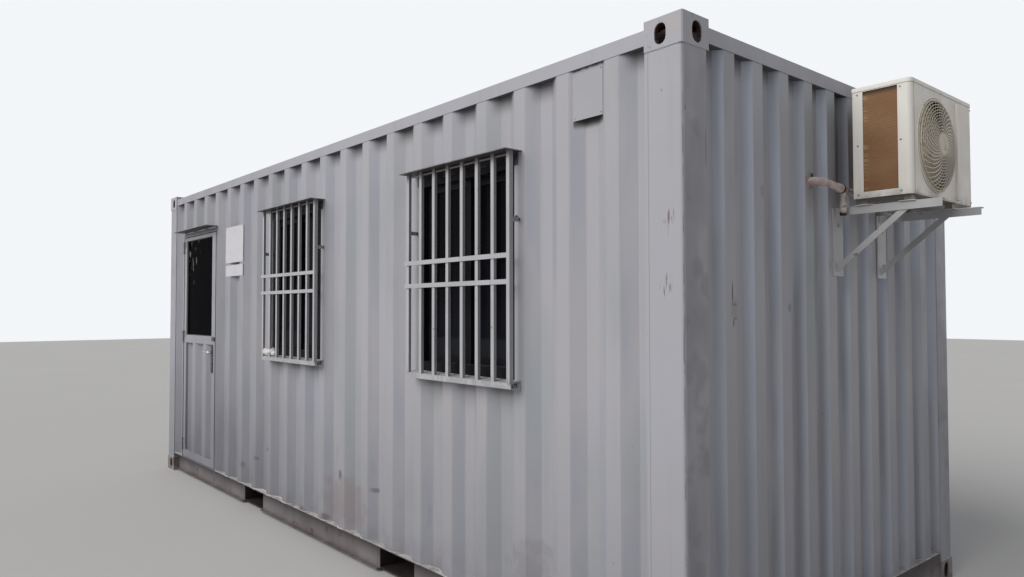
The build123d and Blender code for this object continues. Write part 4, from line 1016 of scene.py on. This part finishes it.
def make_beads():
    foot = WALL_FOOT + 0.003
    lines = []
    for low, high in ((WALL_ENDS_X[0], DOORWAY_X[0]), (DOORWAY_X[1], WALL_ENDS_X[1])):
        front = [(x, FRONT_CREST - 0.003 + deep, foot) for x, deep in wave(SIDE_WAVE, low, high)]
        lines.append((FRONT_BEAD, front))
    lines.append((BACK_BEAD, [(x, BACK_CREST - deep, foot) for x, deep in wave(SIDE_WAVE, *WALL_ENDS_X)]))
    for crest, side in ((RIGHT_CREST, 1), (LEFT_CREST, -1)):
        end = [(crest - side * deep, y, foot) for y, deep in wave(END_WAVE, *WALL_ENDS_Y)]
        lines.append((BACK_BEAD, end))
    shape = bmesh.new()
    for most, line in lines:
        radii, size = [], 0.004
        for _ in line:
            size = min(most, max(0.0025, size + random.uniform(-0.0022, 0.0022)))
            radii.append(size)
        bead(shape, line, radii, 6)
    finished(shape, "wall_foot_bead", "foot_dirt", sharp=70)
    shape = bmesh.new()
    for y in (CASTING_LOW[1], CASTING_HIGH[1]):
        for x in (CASTING_LOW[0], CASTING_HIGH[0]):
            way_x, way_y = math.copysign(1, MIDDLE_X - x), math.copysign(1, MIDDLE_Y - y)
            for z in (CASTING_FOOT, CASTING_NECK):
                corner = Vector((x + way_x * 0.0045, y + way_y * 0.0045, z))
                row = [corner + Vector((way_x * (CASTING_X - 0.006 - 0.012 * k), 0, 0)) for k in range(14)]
                row += [corner + Vector((way_x * 0.003, way_y * 0.003, 0))]
                row += [corner + Vector((0, way_y * (0.01 + 0.012 * k), 0)) for k in range(12)]
                line = [place + Vector((0, 0, random.uniform(-0.0018, 0.0018))) for place in row]
                bead(shape, line, [random.uniform(0.0026, 0.0042) for _ in line], 8)
    finished(shape, "casting_welds", "paint_bead", sharp=70)


# Worn finishes: two tones, spots, scale, metal, roughness of clean and spotted places, spots' limit, sheen
WORN = {
    "guard_plastic": ((0.6, 0.54, 0.435), (0.53, 0.47, 0.37), (0.34, 0.28, 0.2)),
    "fan_plastic": ((0.06, 0.053, 0.044), (0.045, 0.039, 0.032), (0.09, 0.07, 0.05)),
    "dull_steel": ((0.33, 0.32, 0.32), (0.22, 0.21, 0.21), RUST, 60, 0.6),
    "bright_steel": ((0.66, 0.66, 0.68), (0.5, 0.5, 0.52), (0.25, 0.22, 0.2), 60, 1, (0.16, 0.45), 0.66),
    "rusty_steel": ((0.085, 0.045, 0.032), (0.04, 0.025, 0.02), (0.19, 0.085, 0.045), 90, 0.2,
                    (0.65, 0.85), 0.6),
    "black_tape": ((0.018, 0.017, 0.018), (0.03, 0.028, 0.029), (0.07, 0.06, 0.055), 40, 0, (0.45, 0.7)),
    "sealant": ((0.34, 0.295, 0.27), (0.25, 0.21, 0.19), (0.13, 0.09, 0.075), 30, 0, (0.6, 0.8), 0.6),
    "pale_foam": ((0.82, 0.79, 0.8), (0.7, 0.66, 0.66), (0.4, 0.33, 0.32), 20, 0, (0.6, 0.8), 0.6),
    "foot_dirt": ((0.47, 0.45, 0.46), (0.33, 0.3, 0.3), (0.13, 0.085, 0.07), 12, 0, (0.6, 0.85)),
    "paint_bead": (SHELL, (0.33, 0.32, 0.345), (0.06, 0.045, 0.045), 22, 0, (0.45, 0.7), 0.6),
    "pocket_rust": ((0.04, 0.031, 0.029), (0.022, 0.017, 0.017), (0.075, 0.045, 0.034), 7, 0, (0.6, 0.85),
                    0.62, 0.2),
    "lock_steel": ((0.045, 0.043, 0.045), (0.075, 0.07, 0.07), (0.16, 0.12, 0.1), 50, 0.5, (0.4, 0.75)),
    "hinge_steel": ((0.34, 0.33, 0.345), (0.22, 0.2, 0.205), (0.13, 0.07, 0.05), 24, 0, (0.5, 0.8), 0.56),
}

# Marks on the walls: place along, height, half width, half height, tint, strength, raggedness
SCUFFS = (
    (-1.118, 0.396, 0.034, 0.018, BLACK_SCUFF, 0.85, 0.3),
    (-1.391, 0.305, 0.03, 0.026, (0.13, 0.12, 0.13), 0.8, 0.3),
    (-0.899, 0.493, 0.022, 0.016, (0.12, 0.1, 0.1), 0.75, 0.3),
    (-1.188, 0.235, 0.03, 0.02, BLACK_SCUFF, 0.8, 0.3),
    (0.21, 0.493, 0.028, 0.03, (0.12, 0.11, 0.12), 0.85, 0.15),
    (0.594, 0.46, 0.04, 0.016, (0.14, 0.12, 0.12), 0.75, 0.25),
    (-0.317, 0.184, 0.04, 0.018, MUD_SCUFF, 0.85, 0.3),
    (-0.004, 0.191, 0.05, 0.02, MUD_SCUFF, 0.75, 0.3),
    (0.25, 0.33, 0.3, 0.16, (0.29, 0.23, 0.22), 0.6, 0.25),
    (1.95, 0.36, 0.16, 0.12, GRIME_AND_SHADE, 0.3, 0.4),
)
SCRATCHES = (
    (-0.859, 1.565, 0.006, 0.05, SCRAPE, 0.9, 0.03),
    (-0.806, 1.562, 0.006, 0.042, SCRAPE, 0.8, 0.03),
    (-0.834, 1.521, 0.03, 0.006, SCRAPE, 0.8, 0.03),
    (-0.852, 1.452, 0.005, 0.022, BLACK_SCUFF, 0.9, 0.03),
    (-0.836, 1.468, 0.018, 0.005, MUD_SCUFF, 0.8, 0.03),
    (-0.83, 1.5, 0.04, 0.05, (0.26, 0.25, 0.22), 0.5, 0.2),
    (-0.425, 1.509, 0.03, 0.02, SMUDGE_AND_SHADE, 0.5, 0.25),
    (-0.636, 1.981, 0.022, 0.03, SMUDGE_AND_SHADE, 0.3, 0.25),
    (-0.25, 2.0, 0.04, 0.07, (0.3, 0.265, 0.265), 0.6, 0.3),
)

# Which nodes wear which finish, besides the front wall
NODE_FINISHES = {
    "casting_paint": "corner_castings",
    "post_paint": "corner_posts",
    "rail_paint": "top_rails roof_sheet",
    "base_paint": "base_side_rails base_end_rails cross_members",
    "pocket_rust": "fork_pockets",
    "floor_board": "floor_deck",
    "lining_board": "ceiling_panel front_lining back_lining end_linings",
    "front_wall_paint": "door_lower_panel",
    "back_wall_paint": "back_wall",
    "right_end_paint": "right_end_wall",
    "left_end_paint": "left_end_wall",
    "door_paint": "door_frame door_leaf",
    "door_pane": "door_glass",
    "hinge_steel": "frame_hinges leaf_hinges",
    "lock_steel": "door_lock",
    "bright_steel": "door_lever",
    "dark_alloy": "window_frames",
    "window_glass": "window_glass",
    "grille_paint": "left_window_grille right_window_grille window_sills",
    "hood_paint": "rain_hoods",
    "vent_paint": "vent_cover",
    "sign_paint": "sign_plates",
    "unit_paint": "unit_casing",
    "coil_finish": "unit_coil",
    "fan_plastic": "unit_fan",
    "guard_plastic": "fan_guard",
    "bracket_paint": "unit_brackets",
    "pipe_tape": "unit_pipe",
}


def make_finishes():
    for name, look in WORN.items():
        worn(name, *look)
    for make in (base_paint, casting_paint, grille_paint, hood_paint, vent_paint, dark_alloy, window_glass,
                 door_pane, bracket_paint, sign_paint, unit_paint, coil_finish, pipe_tape):
        make()
    wall_paint("front_wall_paint", "y", FRONT_CREST, 1, SCUFFS)
    wall_paint("back_wall_paint", "y", BACK_CREST, -1)
    wall_paint("right_end_paint", "x", RIGHT_CREST, -1, SCRATCHES)
    wall_paint("left_end_paint", "x", LEFT_CREST, 1)
    rail_paint("rail_paint")
    rail_paint("post_paint", 0.8, True)
    rail_paint("door_paint", 0.6)
    board_finish("lining_board", (0.62, 0.61, 0.57), (0.52, 0.5, 0.46), (3, 3, 40))
    board_finish("floor_board", (0.32, 0.2, 0.12), (0.22, 0.13, 0.075), (2, 45, 45))


# Every node that stays gets its finish
def dress_nodes():
    finishes = {node: FINISHES[name] for name, nodes in NODE_FINISHES.items() for node in nodes.split()}
    for name, node in NODES.items():
        front = name.startswith("front_wall")
        for slot in node.material_slots:
            slot.material = FINISHES["front_wall_paint"] if front else finishes[name]


def floor_and_light():
    shape = bmesh.new()
    bmesh.ops.create_grid(shape, x_segments=1, y_segments=1, size=40)
    pale = Coat("pale_floor", roughness=0.9, specular=0.1)
    pale.start(pale.noise(0.3), (0.58, 0.57, 0.56), (0.54, 0.53, 0.52))
    pale.finish()
    ground = placed(shape, "ground", FINISHES["pale_floor"])
    world = bpy.data.worlds.new("sky")
    world.use_nodes = True
    bpy.context.scene.world = world
    tree = world.node_tree
    soft = tree.nodes["Background"]
    soft.inputs["Color"].default_value = (0.93, 0.96, 1.0, 1.0)
    soft.inputs["Strength"].default_value = SKY_STRENGTH
    white = tree.nodes.new("ShaderNodeBackground")
    white.inputs["Color"].default_value = (0.9, 0.92, 0.95, 1.0)
    path = tree.nodes.new("ShaderNodeLightPath")
    seen = path.outputs["Is Camera Ray"]
    for kind in ("Is Glossy Ray", "Is Transmission Ray"):
        join = tree.nodes.new("ShaderNodeMath")
        join.operation = "MAXIMUM"
        tree.links.new(seen, join.inputs[0])
        tree.links.new(path.outputs[kind], join.inputs[1])
        seen = join.outputs[0]
    both = tree.nodes.new("ShaderNodeMixShader")
    for number, output in enumerate((seen, soft.outputs[0], white.outputs[0])):
        tree.links.new(output, both.inputs[number])
    tree.links.new(both.outputs[0], tree.nodes["World Output"].inputs["Surface"])
    sun = bpy.data.lights.new("soft_key", "SUN")
    sun.energy = KEY_STRENGTH
    sun.angle = math.radians(KEY_SPREAD)
    sun.color = (1.0, 0.985, 0.96)
    key = bpy.data.objects.new("soft_key", sun)
    key.rotation_euler = Euler((math.radians(KEY_TILT), 0, math.radians(KEY_TURN)))
    bpy.context.collection.objects.link(key)


def photo_camera():
    data = bpy.data.cameras.new("photo_camera")
    data.lens = CAMERA_LENS
    data.sensor_width = SENSOR_WIDTH
    data.clip_end = 200
    camera = bpy.data.objects.new("photo_camera", data)
    turn = Matrix.Rotation(math.radians(CAMERA_TURN), 4, "Z")
    turn = turn @ Matrix.Rotation(math.radians(90 + CAMERA_RISE), 4, "X")
    turn = turn @ Matrix.Rotation(math.radians(CAMERA_ROLL), 4, "Z")
    camera.matrix_world = Matrix.Translation(CAMERA_PLACE) @ turn
    bpy.context.collection.objects.link(camera)
    bpy.context.scene.camera = camera


photo_camera()
floor_and_light()
make_finishes()
dress_nodes()
make_fan_guard()
make_fan()
make_unit_trim()
make_pipe()
make_door_hardware()
make_window_hardware()
make_hood_fillers()
make_plate_rivets()
make_beads()
bpy.context.scene.view_settings.view_transform = "Standard"
